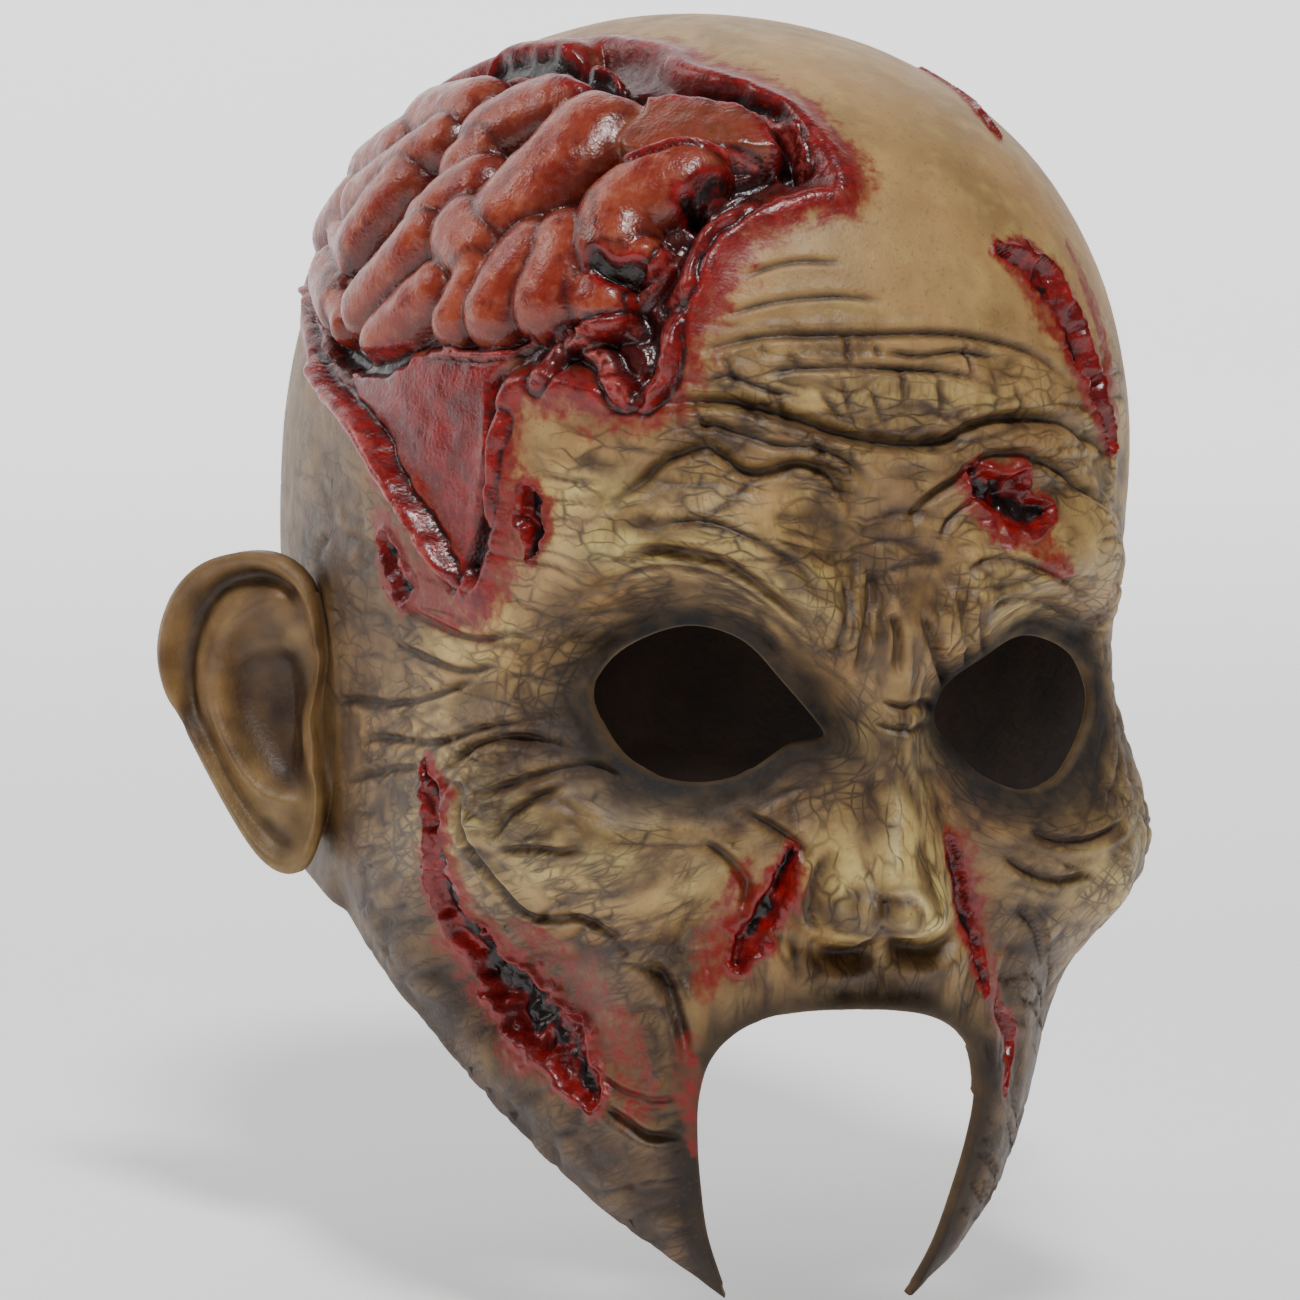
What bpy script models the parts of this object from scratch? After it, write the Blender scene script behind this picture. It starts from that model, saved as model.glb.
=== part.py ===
"""An over-the-head latex mask with an open chin, two eye holes and a torn scalp, cast in one skin.

Metres, +Z up. The top of the crown is at z = 0, the head under it begins one wall lower, and the
face looks along -Y. "Turn" is the angle round the head from the middle of the face, positive to +X,
and each form is a lift along the bare head's own outward direction.
"""

import math

import bpy
import numpy as np

MM = 0.001

# Driving dimensions.
HEAD_HEIGHT = 256 * MM  # crown to the lowest section under the chin
HEAD_WIDTH = 158 * MM
HEAD_LENGTH = 204 * MM
WALL = 2.4 * MM
RELIEF = 10 * MM  # how far a bold form of the face stands off the bare head
NOSE_RISE = 15 * MM
EYE_WIDTH = 43.5 * MM
EYE_HEIGHT = 29.5 * MM
EYE_ACROSS = 34.5 * MM  # middle of the face to each eye hole's centre
EYE_DOWN = 123 * MM
MOUTH_WIDTH = 57 * MM
MOUTH_TOP_DOWN = 180 * MM
EAR_WIDTH = 36.5 * MM
EAR_LENGTH = 62.5 * MM
EAR_BOWL_DEPTH = 5.4 * MM
EAR_ROOT_WIDTH = 22 * MM
EAR_ROOT_HEIGHT = 47 * MM
EAR_FLARE = 45.0  # degrees between the side of the head and the ear
EAR_LEAN = 8.0  # degrees that the ear's top leans back
EAR_BACK = 10 * MM  # the ear's root, behind the head's widest line
EAR_DOWN = 144.5 * MM
RIM_BELOW_EAR = 10 * MM
WOUND_RECESS = 1.4 * MM
WOUND_LIP_RISE = 1.8 * MM
WOUND_LIP_WIDTH = 6.4 * MM
LOBE_HEIGHT = 7.9 * MM
LOBE_WIDTH = 20 * MM
FINEST = 3.35 * MM  # side of the smallest cell; each coarser one is twice as large

# Shares of the head's height, half width and half length, and how square the section is.
SECTIONS = [
    # down, half_width, front, back, square
    (0.000, 0.00, 0.00, 0.00, 2.00),
    (0.004, 0.17, 0.20, 0.18, 2.00),
    (0.018, 0.36, 0.40, 0.37, 2.00),
    (0.050, 0.57, 0.60, 0.59, 2.05),
    (0.100, 0.75, 0.76, 0.77, 2.10),
    (0.170, 0.89, 0.875, 0.90, 2.15),
    (0.250, 0.97, 0.94, 0.98, 2.20),
    (0.330, 1.00, 0.965, 1.02, 2.25),
    (0.410, 0.99, 0.97, 1.03, 2.30),
    (0.490, 0.965, 0.95, 1.00, 2.35),
    (0.570, 0.94, 0.93, 0.94, 2.35),
    (0.650, 0.92, 0.92, 0.86, 2.35),
    (0.730, 0.90, 0.925, 0.79, 2.30),
    (0.810, 0.855, 0.94, 0.73, 2.25),
    (0.890, 0.77, 0.945, 0.68, 2.20),
    (0.960, 0.67, 0.96, 0.64, 2.15),
    (1.020, 0.57, 0.96, 0.60, 2.10),
]

# The lower edge every 15 degrees from the middle of the face to the nape, as a share of the way
# from its level under the ears down to the chin, which is itself a share of the head's height.
RIM_CHIN = 0.977
RIM = (1.0, 0.875, 0.722, 0.583, 0.417, 0.222, 0.042, 0.0, 0.014, 0.056, 0.111, 0.153, 0.167)

# A form's "level" is its height on the face: 0 crown, 1 eyes, 2 top of the mouth, 3 lowest section.
# Broad forms. "side" is 0 for the middle, 2 for both sides, and -1 or 1 for one side only. Radii are
# shares of the head's width, lifts of RELIEF, and "follow" is the share that the inside follows.
MASSES = [
    # name, side, turn, level, across, along, tilt, lift, follow
    ("between_brows", 0, 0, 0.845, 0.070, 0.076, 0, 0.30, 0.9),
    ("socket", 2, 24, 0.985, 0.095, 0.082, -6, -0.90, 1.0),
    ("inner_eye_corner", 2, 10.5, 0.975, 0.041, 0.051, 0, -0.55, 1.0),
    ("under_brow", 2, 30, 0.88, 0.095, 0.038, 8, -0.30, 1.0),
    ("eye_bag", 2, 24, 1.40, 0.101, 0.032, 0, 0.25, 0.8),
    ("cheekbone", 2, 53, 1.42, 0.114, 0.089, 18, 1.10, 0.95),
    ("cheek_front", 2, 34, 1.545, 0.095, 0.063, 14, 0.65, 0.95),
    ("cheek_hollow", -1, 50, 2.013, 0.127, 0.076, 24, -0.60, 1.0),
    ("cheek_hollow", 1, 46, 2.0, 0.089, 0.063, 24, -0.20, 1.0),
    ("cheek_below_bone", 1, 56, 1.737, 0.089, 0.076, 0, 0.50, 1.0),
    ("temple_hollow", 2, 64, 0.813, 0.089, 0.101, 0, -0.20, 1.0),
    ("muzzle", 0, 0, 1.93, 0.158, 0.082, 0, 0.45, 1.0),
    ("mouth_corner", 2, 25, 2.184, 0.057, 0.089, 0, 0.30, 1.0),
    ("nose_lobe", 2, 2.6, 1.614, 0.035, 0.038, 0, 0.45, 0.5),
    ("nose_wing", 2, 6.5, 1.561, 0.038, 0.041, 0, 0.40, 0.6),
    ("chin_side", 2, 30, 2.553, 0.089, 0.114, 0, 0.25, 1.0),
    ("jaw_muscle", 2, 74, 1.86, 0.101, 0.127, 0, 0.25, 1.0),
]

# Long forms, each a line of points. The nose's lifts are shares of NOSE_RISE, the others of RELIEF,
# and half widths are shares of the head's width.
RIDGES = [
    # name, side, follow, [(turn, level, lift, half_width), ...]
    ("nose", 0, 0.9, [(0, 0.88, 0.20, 0.051), (0, 0.975, 0.40, 0.047), (0, 1.175, 0.63, 0.051),
                      (0, 1.40, 0.90, 0.063), (0, 1.56, 1.00, 0.073)]),
    ("under_nose", 2, 0.3, [(0, 1.79, -0.40, 0.025), (4, 1.79, -0.40, 0.025), (8, 1.755, -0.30, 0.025)]),
    ("brow", 2, 0.9, [(46, 0.845, 0.20, 0.051), (37, 0.77, 0.45, 0.057), (26, 0.74, 0.60, 0.057),
                      (15, 0.78, 0.60, 0.051), (8, 0.86, 0.50, 0.038)]),
    ("brow_crease", 2, 0.0, [(40, 0.667, -0.15, 0.022), (28, 0.634, -0.20, 0.022), (17, 0.65, -0.20, 0.022),
                             (9, 0.73, -0.20, 0.022)]),
    ("lid_fold", 2, 0.3, [(40, 0.837, -0.10, 0.019), (28, 0.797, -0.15, 0.019), (16, 0.837, -0.15, 0.019),
                          (9, 0.91, -0.10, 0.019)]),
    ("cheek_fold", 2, 0.8, [(9, 1.525, -0.20, 0.032), (17, 1.684, -0.30, 0.038), (25, 1.93, -0.30, 0.041),
                            (31, 2.21, -0.20, 0.038)]),
    ("forehead_line", 0, 0.0, [(-34, 0.52, -0.15, 0.022), (-20, 0.52, -0.22, 0.022), (-6, 0.56, -0.24, 0.022),
                               (7, 0.57, -0.24, 0.022), (20, 0.537, -0.22, 0.022), (36, 0.585, -0.15, 0.022)]),
    ("upper_line", 0, 0.0, [(-22, 0.423, -0.10, 0.019), (-8, 0.43, -0.18, 0.019), (8, 0.43, -0.18, 0.019),
                            (24, 0.447, -0.10, 0.019)]),
    ("frown_line", 2, 0.0, [(3.5, 0.797, -0.16, 0.016), (3, 0.878, -0.20, 0.016), (4, 0.95, -0.16, 0.016)]),
    ("jaw_turn", 2, 1.0, [(88, 2.013, -0.20, 0.038), (60, 2.38, -0.20, 0.038), (30, 2.71, -0.20, 0.038),
                          (14, 2.87, -0.20, 0.038)]),
    ("neck_fold", 2, 0.0, [(115, 1.65, -0.12, 0.025), (145, 1.79, -0.18, 0.025), (180, 1.825, -0.20, 0.025)]),
]

# Eye holes seen from the front, from each eye's centre: shares of EYE_WIDTH and of EYE_HEIGHT.
EYE_OUTLINES = [
    # side, [(away_from_nose, down), ...]
    (-1, [(-0.563, 0.17), (-0.391, 0.305), (-0.184, 0.49), (0.046, 0.54), (0.253, 0.44), (0.391, 0.20),
          (0.437, -0.03), (0.356, -0.29), (0.138, -0.46), (-0.115, -0.41), (-0.322, -0.17)]),
    (1, [(-0.46, 0.085), (-0.345, 0.29), (-0.184, 0.475), (0.023, 0.56), (0.23, 0.475), (0.402, 0.237),
         (0.494, -0.03), (0.414, -0.305), (0.184, -0.44), (-0.069, -0.39), (-0.299, -0.17)]),
]
# Half the mouth's arch: shares of half the mouth's width and of its height down to the lower edge.
MOUTH_OUTLINE = [
    # across, down
    (0.0, 0.0), (0.28, 0.003), (0.56, 0.023), (0.79, 0.071), (0.947, 0.157), (1.0, 0.271), (0.982, 0.40),
    (0.93, 0.53), (0.86, 0.657), (0.754, 0.786), (0.65, 0.914), (0.60, 1.15),
]

# The torn opening in the scalp, round its edge.
WOUND_OUTLINE = [
    # turn, level
    (-62, 0.049), (-46, 0.065), (-30, 0.081), (-18, 0.106), (-11, 0.154), (-9, 0.211), (-19, 0.236),
    (-27, 0.276), (-30, 0.333), (-32, 0.407), (-33, 0.48), (-36, 0.537), (-47, 0.537), (-56, 0.545),
    (-58, 0.618), (-57, 0.732), (-58, 0.829), (-61, 0.886), (-66, 0.846), (-74, 0.756), (-84, 0.667),
    (-95, 0.61), (-108, 0.553), (-120, 0.472), (-126, 0.358), (-122, 0.228), (-108, 0.114), (-88, 0.057),
]
# Brain lobes, each a thick line. "rise" is a share of LOBE_HEIGHT and "half" of LOBE_WIDTH.
LOBES = [
    # rise, half, [(turn, level), ...]
    (1.0, 0.50, [(-60, 0.195), (-42, 0.138)]),
    (0.9, 0.44, [(-70, 0.098), (-52, 0.089)]),
    (1.0, 0.53, [(-96, 0.146), (-80, 0.179)]),
    (1.0, 0.53, [(-112, 0.244), (-98, 0.276)]),
    (0.9, 0.47, [(-78, 0.268), (-66, 0.268)]),
    (0.9, 0.44, [(-88, 0.358), (-90, 0.276)]),
    (1.0, 0.50, [(-104, 0.407), (-112, 0.341)]),
    (0.95, 0.50, [(-70, 0.423), (-82, 0.472), (-92, 0.52)]),
    (0.9, 0.47, [(-56, 0.325), (-66, 0.374)]),
    (0.8, 0.44, [(-44, 0.276), (-40, 0.374)]),
    (0.7, 0.41, [(-52, 0.439), (-60, 0.472)]),
    (0.35, 0.63, [(-24, 0.13), (-38, 0.195)]),
    (0.15, 0.56, [(-68, 0.60), (-64, 0.78)]),
]

# The ear's free edge, by bearing round its root: 0 to the back, 90 up, 180 to the face, 270 down.
EAR_RIM = [
    # out, a share of the ear's width; up, a share of its length
    (1.0, 0.096), (0.96, 0.304), (0.74, 0.456), (0.384, 0.512), (0.11, 0.44), (0.014, 0.24),
    (0.04, 0.048), (0.014, -0.144), (0.014, -0.352), (0.137, -0.488), (0.384, -0.448), (0.74, -0.176),
]
EAR_BOWL = (0.26, -0.032)  # the deepest point of the ear's bowl, in the same shares
EAR_FRONT = [
    # share of the way from the bowl to the edge; heights where the edge is free and at the face
    (1.00, 0.30, 0.26), (0.93, 0.44, 0.48), (0.84, 0.0, 0.30), (0.72, 0.22, 0.07), (0.60, 0.19, -0.11),
    (0.44, -0.59, -0.30), (0.24, -0.96, -0.67), (0.00, -1.0, -1.0),
]
SKIN_LATEX = (0.42, 0.30, 0.17, 1.0)

SECTION = np.array(SECTIONS)
NORTH = np.array([0.0, 0.0, 1.0])


def smooth_curve(share, values):
    """A smooth curve through evenly spaced values, read at a share from 0 to 1."""
    values = np.asarray(values, float)
    last = len(values) - 1
    at = np.clip(share, 0, 1) * last
    low = np.minimum(at.astype(int), last - 1)
    part = at - low
    padded = np.concatenate([[2 * values[0] - values[1]], values, [2 * values[-1] - values[-2]]])
    a, b, c, d = (padded[low + k] for k in range(4))
    return 0.5 * (2 * b + (c - a) * part + (2 * a - 5 * b + 4 * c - d) * part**2 + (3 * b - a - 3 * c + d) * part**3)


def closed_curve(points, steps):
    """A smooth closed line through the points."""
    points = np.asarray(points, float)
    part = np.linspace(0, 1, steps, endpoint=False)[None, :, None]
    a, b, c, d = (np.roll(points, 1 - k, axis=0)[:, None] for k in range(4))
    line = 0.5 * (2 * b + (c - a) * part + (2 * a - 5 * b + 4 * c - d) * part**2 + (3 * b - a - 3 * c + d) * part**3)
    return line.reshape(-1, points.shape[1])


FINE_ROWS = np.linspace(0, 1, 1601)
FINE_DOWN = np.maximum.accumulate(smooth_curve(FINE_ROWS, SECTION[:, 0]) * HEAD_HEIGHT)


def row_at(down):
    """The share of the section table at a distance below the crown."""
    return np.interp(down, FINE_DOWN, FINE_ROWS)


def level_down(level):
    """How far below the crown a level of the face is."""
    return np.interp(level, (0, 1, 2, 3), (0, EYE_DOWN, MOUTH_TOP_DOWN, HEAD_HEIGHT))


def rim_row(turn):
    side = EAR_DOWN + EAR_ROOT_HEIGHT / 2 + RIM_BELOW_EAR
    chin = RIM_CHIN * HEAD_HEIGHT
    return row_at(side + (chin - side) * smooth_curve(np.abs(turn) / math.pi, RIM))


def section_at(row):
    width = HEAD_WIDTH / 2 * smooth_curve(row, SECTION[:, 1])
    front = HEAD_LENGTH / 2 * smooth_curve(row, SECTION[:, 2])
    back = HEAD_LENGTH / 2 * smooth_curve(row, SECTION[:, 3])
    return width, front, back, smooth_curve(row, SECTION[:, 4])


def bare_head(turn, row):
    width, front, back, square = section_at(row)
    cos, sin = np.cos(turn), np.sin(turn)
    x = width * np.sign(sin) * np.abs(sin) ** (2 / square)
    y = np.where(cos > 0, -front, back) * np.abs(cos) ** (2 / square)
    return np.stack([x, y, -HEAD_HEIGHT * smooth_curve(row, SECTION[:, 0])], -1)


def outward(turn, row):
    """The direction straight out of the bare head."""
    step = 0.004
    row = np.maximum(row, 0.02)
    low, high = np.maximum(row - step, 0.001), np.minimum(row + step, 1)
    round_it = bare_head(turn + 0.02, row) - bare_head(turn - 0.02, row)
    down_it = bare_head(turn, high) - bare_head(turn, low)
    normal = np.cross(down_it, round_it)
    return normal / np.linalg.norm(normal, axis=-1, keepdims=True)


def place(turn_degrees, level):
    """One point of the bare head with its directions round, down and out."""
    turn, row = np.radians([float(turn_degrees)]), row_at(np.array([level_down(level)]))
    out = outward(turn, row)[0]
    level = np.cross(out, NORTH)
    level /= np.linalg.norm(level)
    return bare_head(turn, row)[0], -level, np.cross(level, out), out


def mass_lift(points, turn, level, across, along, tilt, side):
    centre, round_way, fall, out = place(side * turn, level)
    lean = math.radians(tilt * side)
    offset = (points - centre) / HEAD_WIDTH
    a, b = offset @ round_way, offset @ fall
    a, b = a * math.cos(lean) + b * math.sin(lean), b * math.cos(lean) - a * math.sin(lean)
    return np.exp(-0.5 * ((a / across) ** 2 + (b / along) ** 2 + (offset @ out / 0.285) ** 2))


def line_distance(points, corners):
    """Distance to a line of corners, and where along it the nearest point is."""
    best = np.full(len(points), 1e9)
    where = np.zeros(len(points))
    for k in range(len(corners) - 1):
        start, run = corners[k], corners[k + 1] - corners[k]
        share = np.clip((points - start) @ run / max(run @ run, 1e-12), 0, 1)
        away = np.linalg.norm(points - start - share[:, None] * run, axis=1)
        nearer = away < best
        best[nearer], where[nearer] = away[nearer], (k + share)[nearer]
    return best, where


def ridge_lift(points, rows, side):
    """A long form's lift: its line is filled in on the bare head so that it lies on the skin."""
    rows = np.asarray(rows, float)
    many = np.linspace(0, 1, 6 * (len(rows) - 1) + 1)
    turn, level, lift, half = (smooth_curve(many, rows[:, k]) for k in range(4))
    corners = bare_head(np.radians(side * turn), row_at(level_down(level)))
    away, where = line_distance(points, corners)
    steps = np.arange(len(many))
    return np.interp(where, steps, lift) * np.exp(-((away / HEAD_WIDTH / np.interp(where, steps, half)) ** 2.4))


def sides_of(side):
    return {0: (1,), 2: (-1, 1)}.get(side, (side,))


# The wound is drawn on a map: distances round the head from the wound's middle, as on a globe.
MAP_AXIS = np.array([-0.80, -0.25, 0.55]) / np.linalg.norm([-0.80, -0.25, 0.55])
MAP_RIGHT = np.cross(NORTH, MAP_AXIS) / np.linalg.norm(np.cross(NORTH, MAP_AXIS))
MAP_UP = np.cross(MAP_AXIS, MAP_RIGHT)
MAP_CENTRE = np.array([0.0, 0.0, -0.35 * HEAD_HEIGHT])
MAP_RADIUS = 0.41 * HEAD_LENGTH


def wound_map(points):
    away = points - MAP_CENTRE
    away = away / np.linalg.norm(away, axis=-1, keepdims=True)
    angle = np.arccos(np.clip(away @ MAP_AXIS, -1, 1))
    flat = np.stack([away @ MAP_RIGHT, away @ MAP_UP], -1)
    return flat / np.maximum(np.linalg.norm(flat, axis=-1, keepdims=True), 1e-9) * (angle * MAP_RADIUS)[..., None]


def on_map(spots):
    spots = np.asarray(spots, float)
    return wound_map(bare_head(np.radians(spots[:, 0]), row_at(level_down(spots[:, 1]))))


def flat_distance(points, line, closed):
    """Distance to a flat line; inside a closed one it is negative."""
    ends = np.roll(line, -1, axis=0) if closed else line[1:]
    starts = line if closed else line[:-1]
    best = np.full(len(points), 1e9)
    inside = np.zeros(len(points), bool)
    for a, b in zip(starts, ends):
        run = b - a
        share = np.clip((points - a) @ run / max(run @ run, 1e-12), 0, 1)
        best = np.minimum(best, np.linalg.norm(points - a - share[:, None] * run, axis=1))
        if closed and a[1] != b[1]:
            spans = (a[1] > points[:, 1]) != (b[1] > points[:, 1])
            inside ^= spans & (points[:, 0] < a[0] + (points[:, 1] - a[1]) / run[1] * run[0])
    return np.where(inside, -best, best)


WOUND_EDGE = closed_curve(on_map(WOUND_OUTLINE), 5)


def wound_lift(points):
    """A rolled lip round the tear, a gap inside it and the brain lobes rising out of it."""
    flat = wound_map(points)
    edge = flat_distance(flat, WOUND_EDGE, True)
    lift = WOUND_LIP_RISE * np.exp(-((edge / (WOUND_LIP_WIDTH / 2)) ** 2))
    inner = 1 / (1 + np.exp((edge / WOUND_LIP_WIDTH + 0.4) / 0.16))
    dome = np.zeros(len(points))
    for rise, half, spots in LOBES:
        reach = flat_distance(flat, on_map(spots), False) / (half * LOBE_WIDTH)
        dome = np.maximum(dome, rise * np.sqrt(np.clip(1 - reach**2, 0, 1)))
    return lift + inner * (LOBE_HEIGHT * dome - WOUND_RECESS)


def skin_lift(points, inside=False):
    """How far the skin stands off the bare head, for its outside or for its inside."""
    lift = np.zeros(len(points))
    for _, where, turn, level, across, along, tilt, height, follow in MASSES:
        for side in sides_of(where):
            form = RELIEF * height * mass_lift(points, turn, level, across, along, tilt, side)
            lift += (follow if inside else 1) * form
    for name, where, follow, rows in RIDGES:
        if inside and not follow:
            continue
        parts = [ridge_lift(points, rows, side) for side in sides_of(where)]
        strongest = parts[0] if len(parts) == 1 else np.where(abs(parts[0]) > abs(parts[1]), *parts)
        lift += (follow if inside else 1) * (NOSE_RISE if name == "nose" else RELIEF) * strongest
    if not inside:
        lift += wound_lift(points)
    return lift


def skin(turn, row):
    points = bare_head(turn, row)
    return points + outward(turn, row) * skin_lift(points)[:, None]


def inner_skin(turn, row):
    points = bare_head(turn, row)
    return points + outward(turn, row) * (skin_lift(points, inside=True) - WALL)[:, None]


def ear_rings(side, root):
    """Rings of the ear from its root on the head, up its back, over the edge and down into its bowl."""
    flare, lean = math.radians(EAR_FLARE), math.radians(EAR_LEAN)
    origin = np.array([side * 0.478 * HEAD_WIDTH, EAR_BACK - 0.364 * EAR_ROOT_WIDTH, -EAR_DOWN])
    out_way = np.array([side * math.sin(flare), math.cos(flare), 0.0])
    face_way = np.array([side * math.cos(flare), -math.sin(flare), 0.0])
    up_way = np.array([0.0, math.sin(lean), math.cos(lean)])
    bearing = np.arctan2((root[:, 2] + EAR_DOWN) / EAR_ROOT_HEIGHT, (root[:, 1] - EAR_BACK) / EAR_ROOT_WIDTH)
    shares = np.array(EAR_RIM[-2:] + EAR_RIM + EAR_RIM[:3])
    spread = (bearing / (2 * math.pi) % 1 * 12 + 2) / 16
    size = np.array([EAR_WIDTH, EAR_LENGTH])
    rim = np.stack([smooth_curve(spread, shares[:, 0]), smooth_curve(spread, shares[:, 1])], -1) * size
    bowl = np.array(EAR_BOWL) * size
    free = np.clip(rim[:, 0] / EAR_WIDTH / 0.384, 0, 1)
    free = free * free * (3 - 2 * free)

    def on_plate(flat, height):
        return origin + flat[:, :1] * out_way + flat[:, 1:] * up_way + height[:, None] * face_way

    rings = []
    edge = on_plate(rim, -WALL * (0.75 * free + 0.125))
    for climb in (0.4, 0.75, 1.0):
        belly = WALL * math.sin(math.pi * climb) * free
        rings.append(root * (1 - climb) + edge * climb - belly[:, None] * face_way)
    for reach, height_free, height_face in EAR_FRONT:
        height = EAR_BOWL_DEPTH * (free * height_free + (1 - free) * height_face)
        spot = on_plate(bowl + (rim - bowl) * reach, height)
        least = np.abs(root[:, 0].mean()) + 0.58 * WALL
        spot[:, 0] = side * np.maximum(side * spot[:, 0], least)
        rings.append(spot)
    return rings


def ear_gap(points):
    """Distance to the nearer ear's root; negative inside it."""
    half = np.array([EAR_ROOT_WIDTH, EAR_ROOT_HEIGHT]) / 2
    flat = np.stack([points[:, 1] - EAR_BACK, points[:, 2] + EAR_DOWN], -1) / half
    away = (np.linalg.norm(flat, axis=1) - 1) * half.min()
    return np.where(np.abs(points[:, 0]) > HEAD_WIDTH / 4, away, HEAD_WIDTH)


def opening_distance(points):
    """Distance to the nearest opening's outline, seen from the front; negative inside it."""
    flat = np.stack([np.abs(points[:, 0]), -points[:, 2]], -1)
    size = (MOUTH_WIDTH / 2, RIM_CHIN * HEAD_HEIGHT - MOUTH_TOP_DOWN)
    arch = np.array(MOUTH_OUTLINE) * size + (0, MOUTH_TOP_DOWN)
    many = np.linspace(0, 1, 60)
    arch = np.stack([smooth_curve(many, arch[:, k]) for k in (0, 1)], -1)
    arch = np.concatenate([arch, arch[::-1] * (-1, 1)])
    away = flat_distance(flat, arch, True)
    for side, outline in EYE_OUTLINES:
        eye = closed_curve(np.array(outline) * (EYE_WIDTH, EYE_HEIGHT) + (EYE_ACROSS, EYE_DOWN), 8)
        beside = side * points[:, 0] > 0
        away[beside] = np.minimum(away, flat_distance(flat, eye, True))[beside]
    return np.where(points[:, 1] < 0, away, HEAD_WIDTH)


def skin_cells(columns, rows, size):
    """Cells of the grid, joined where a larger size is allowed. Each is its corners going round."""
    allowed = size.copy()
    leaves = []
    for block in (8, 4, 2):
        tall, wide = rows // block, columns // block
        least = allowed.reshape(tall, block, wide, block).min(axis=(1, 3))
        for i, j in zip(*np.nonzero(least >= block)):
            leaves.append((i * block, j * block, block))
        whole = np.repeat(np.repeat(least >= block, block, 0), block, 1)
        allowed[whole] = 0
    leaves += [(i, j, 1) for i, j in zip(*np.nonzero(allowed > 0))]
    used = np.zeros((rows + 1, columns), bool)
    for i, j, block in leaves:
        for di in (0, block):
            used[i + di, (j + block) % columns] = used[i + di, j] = True
    cells = []
    for i, j, block in leaves:
        ring = [(i, j + k) for k in range(block)] + [(i + k, j + block) for k in range(block)]
        ring += [(i + block, j + block - k) for k in range(block)] + [(i + block - k, j) for k in range(block)]
        corners = ((a, b % columns) for a, b in ring)
        cells.append([corner for corner in corners if used[corner]])
    return cells


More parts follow.
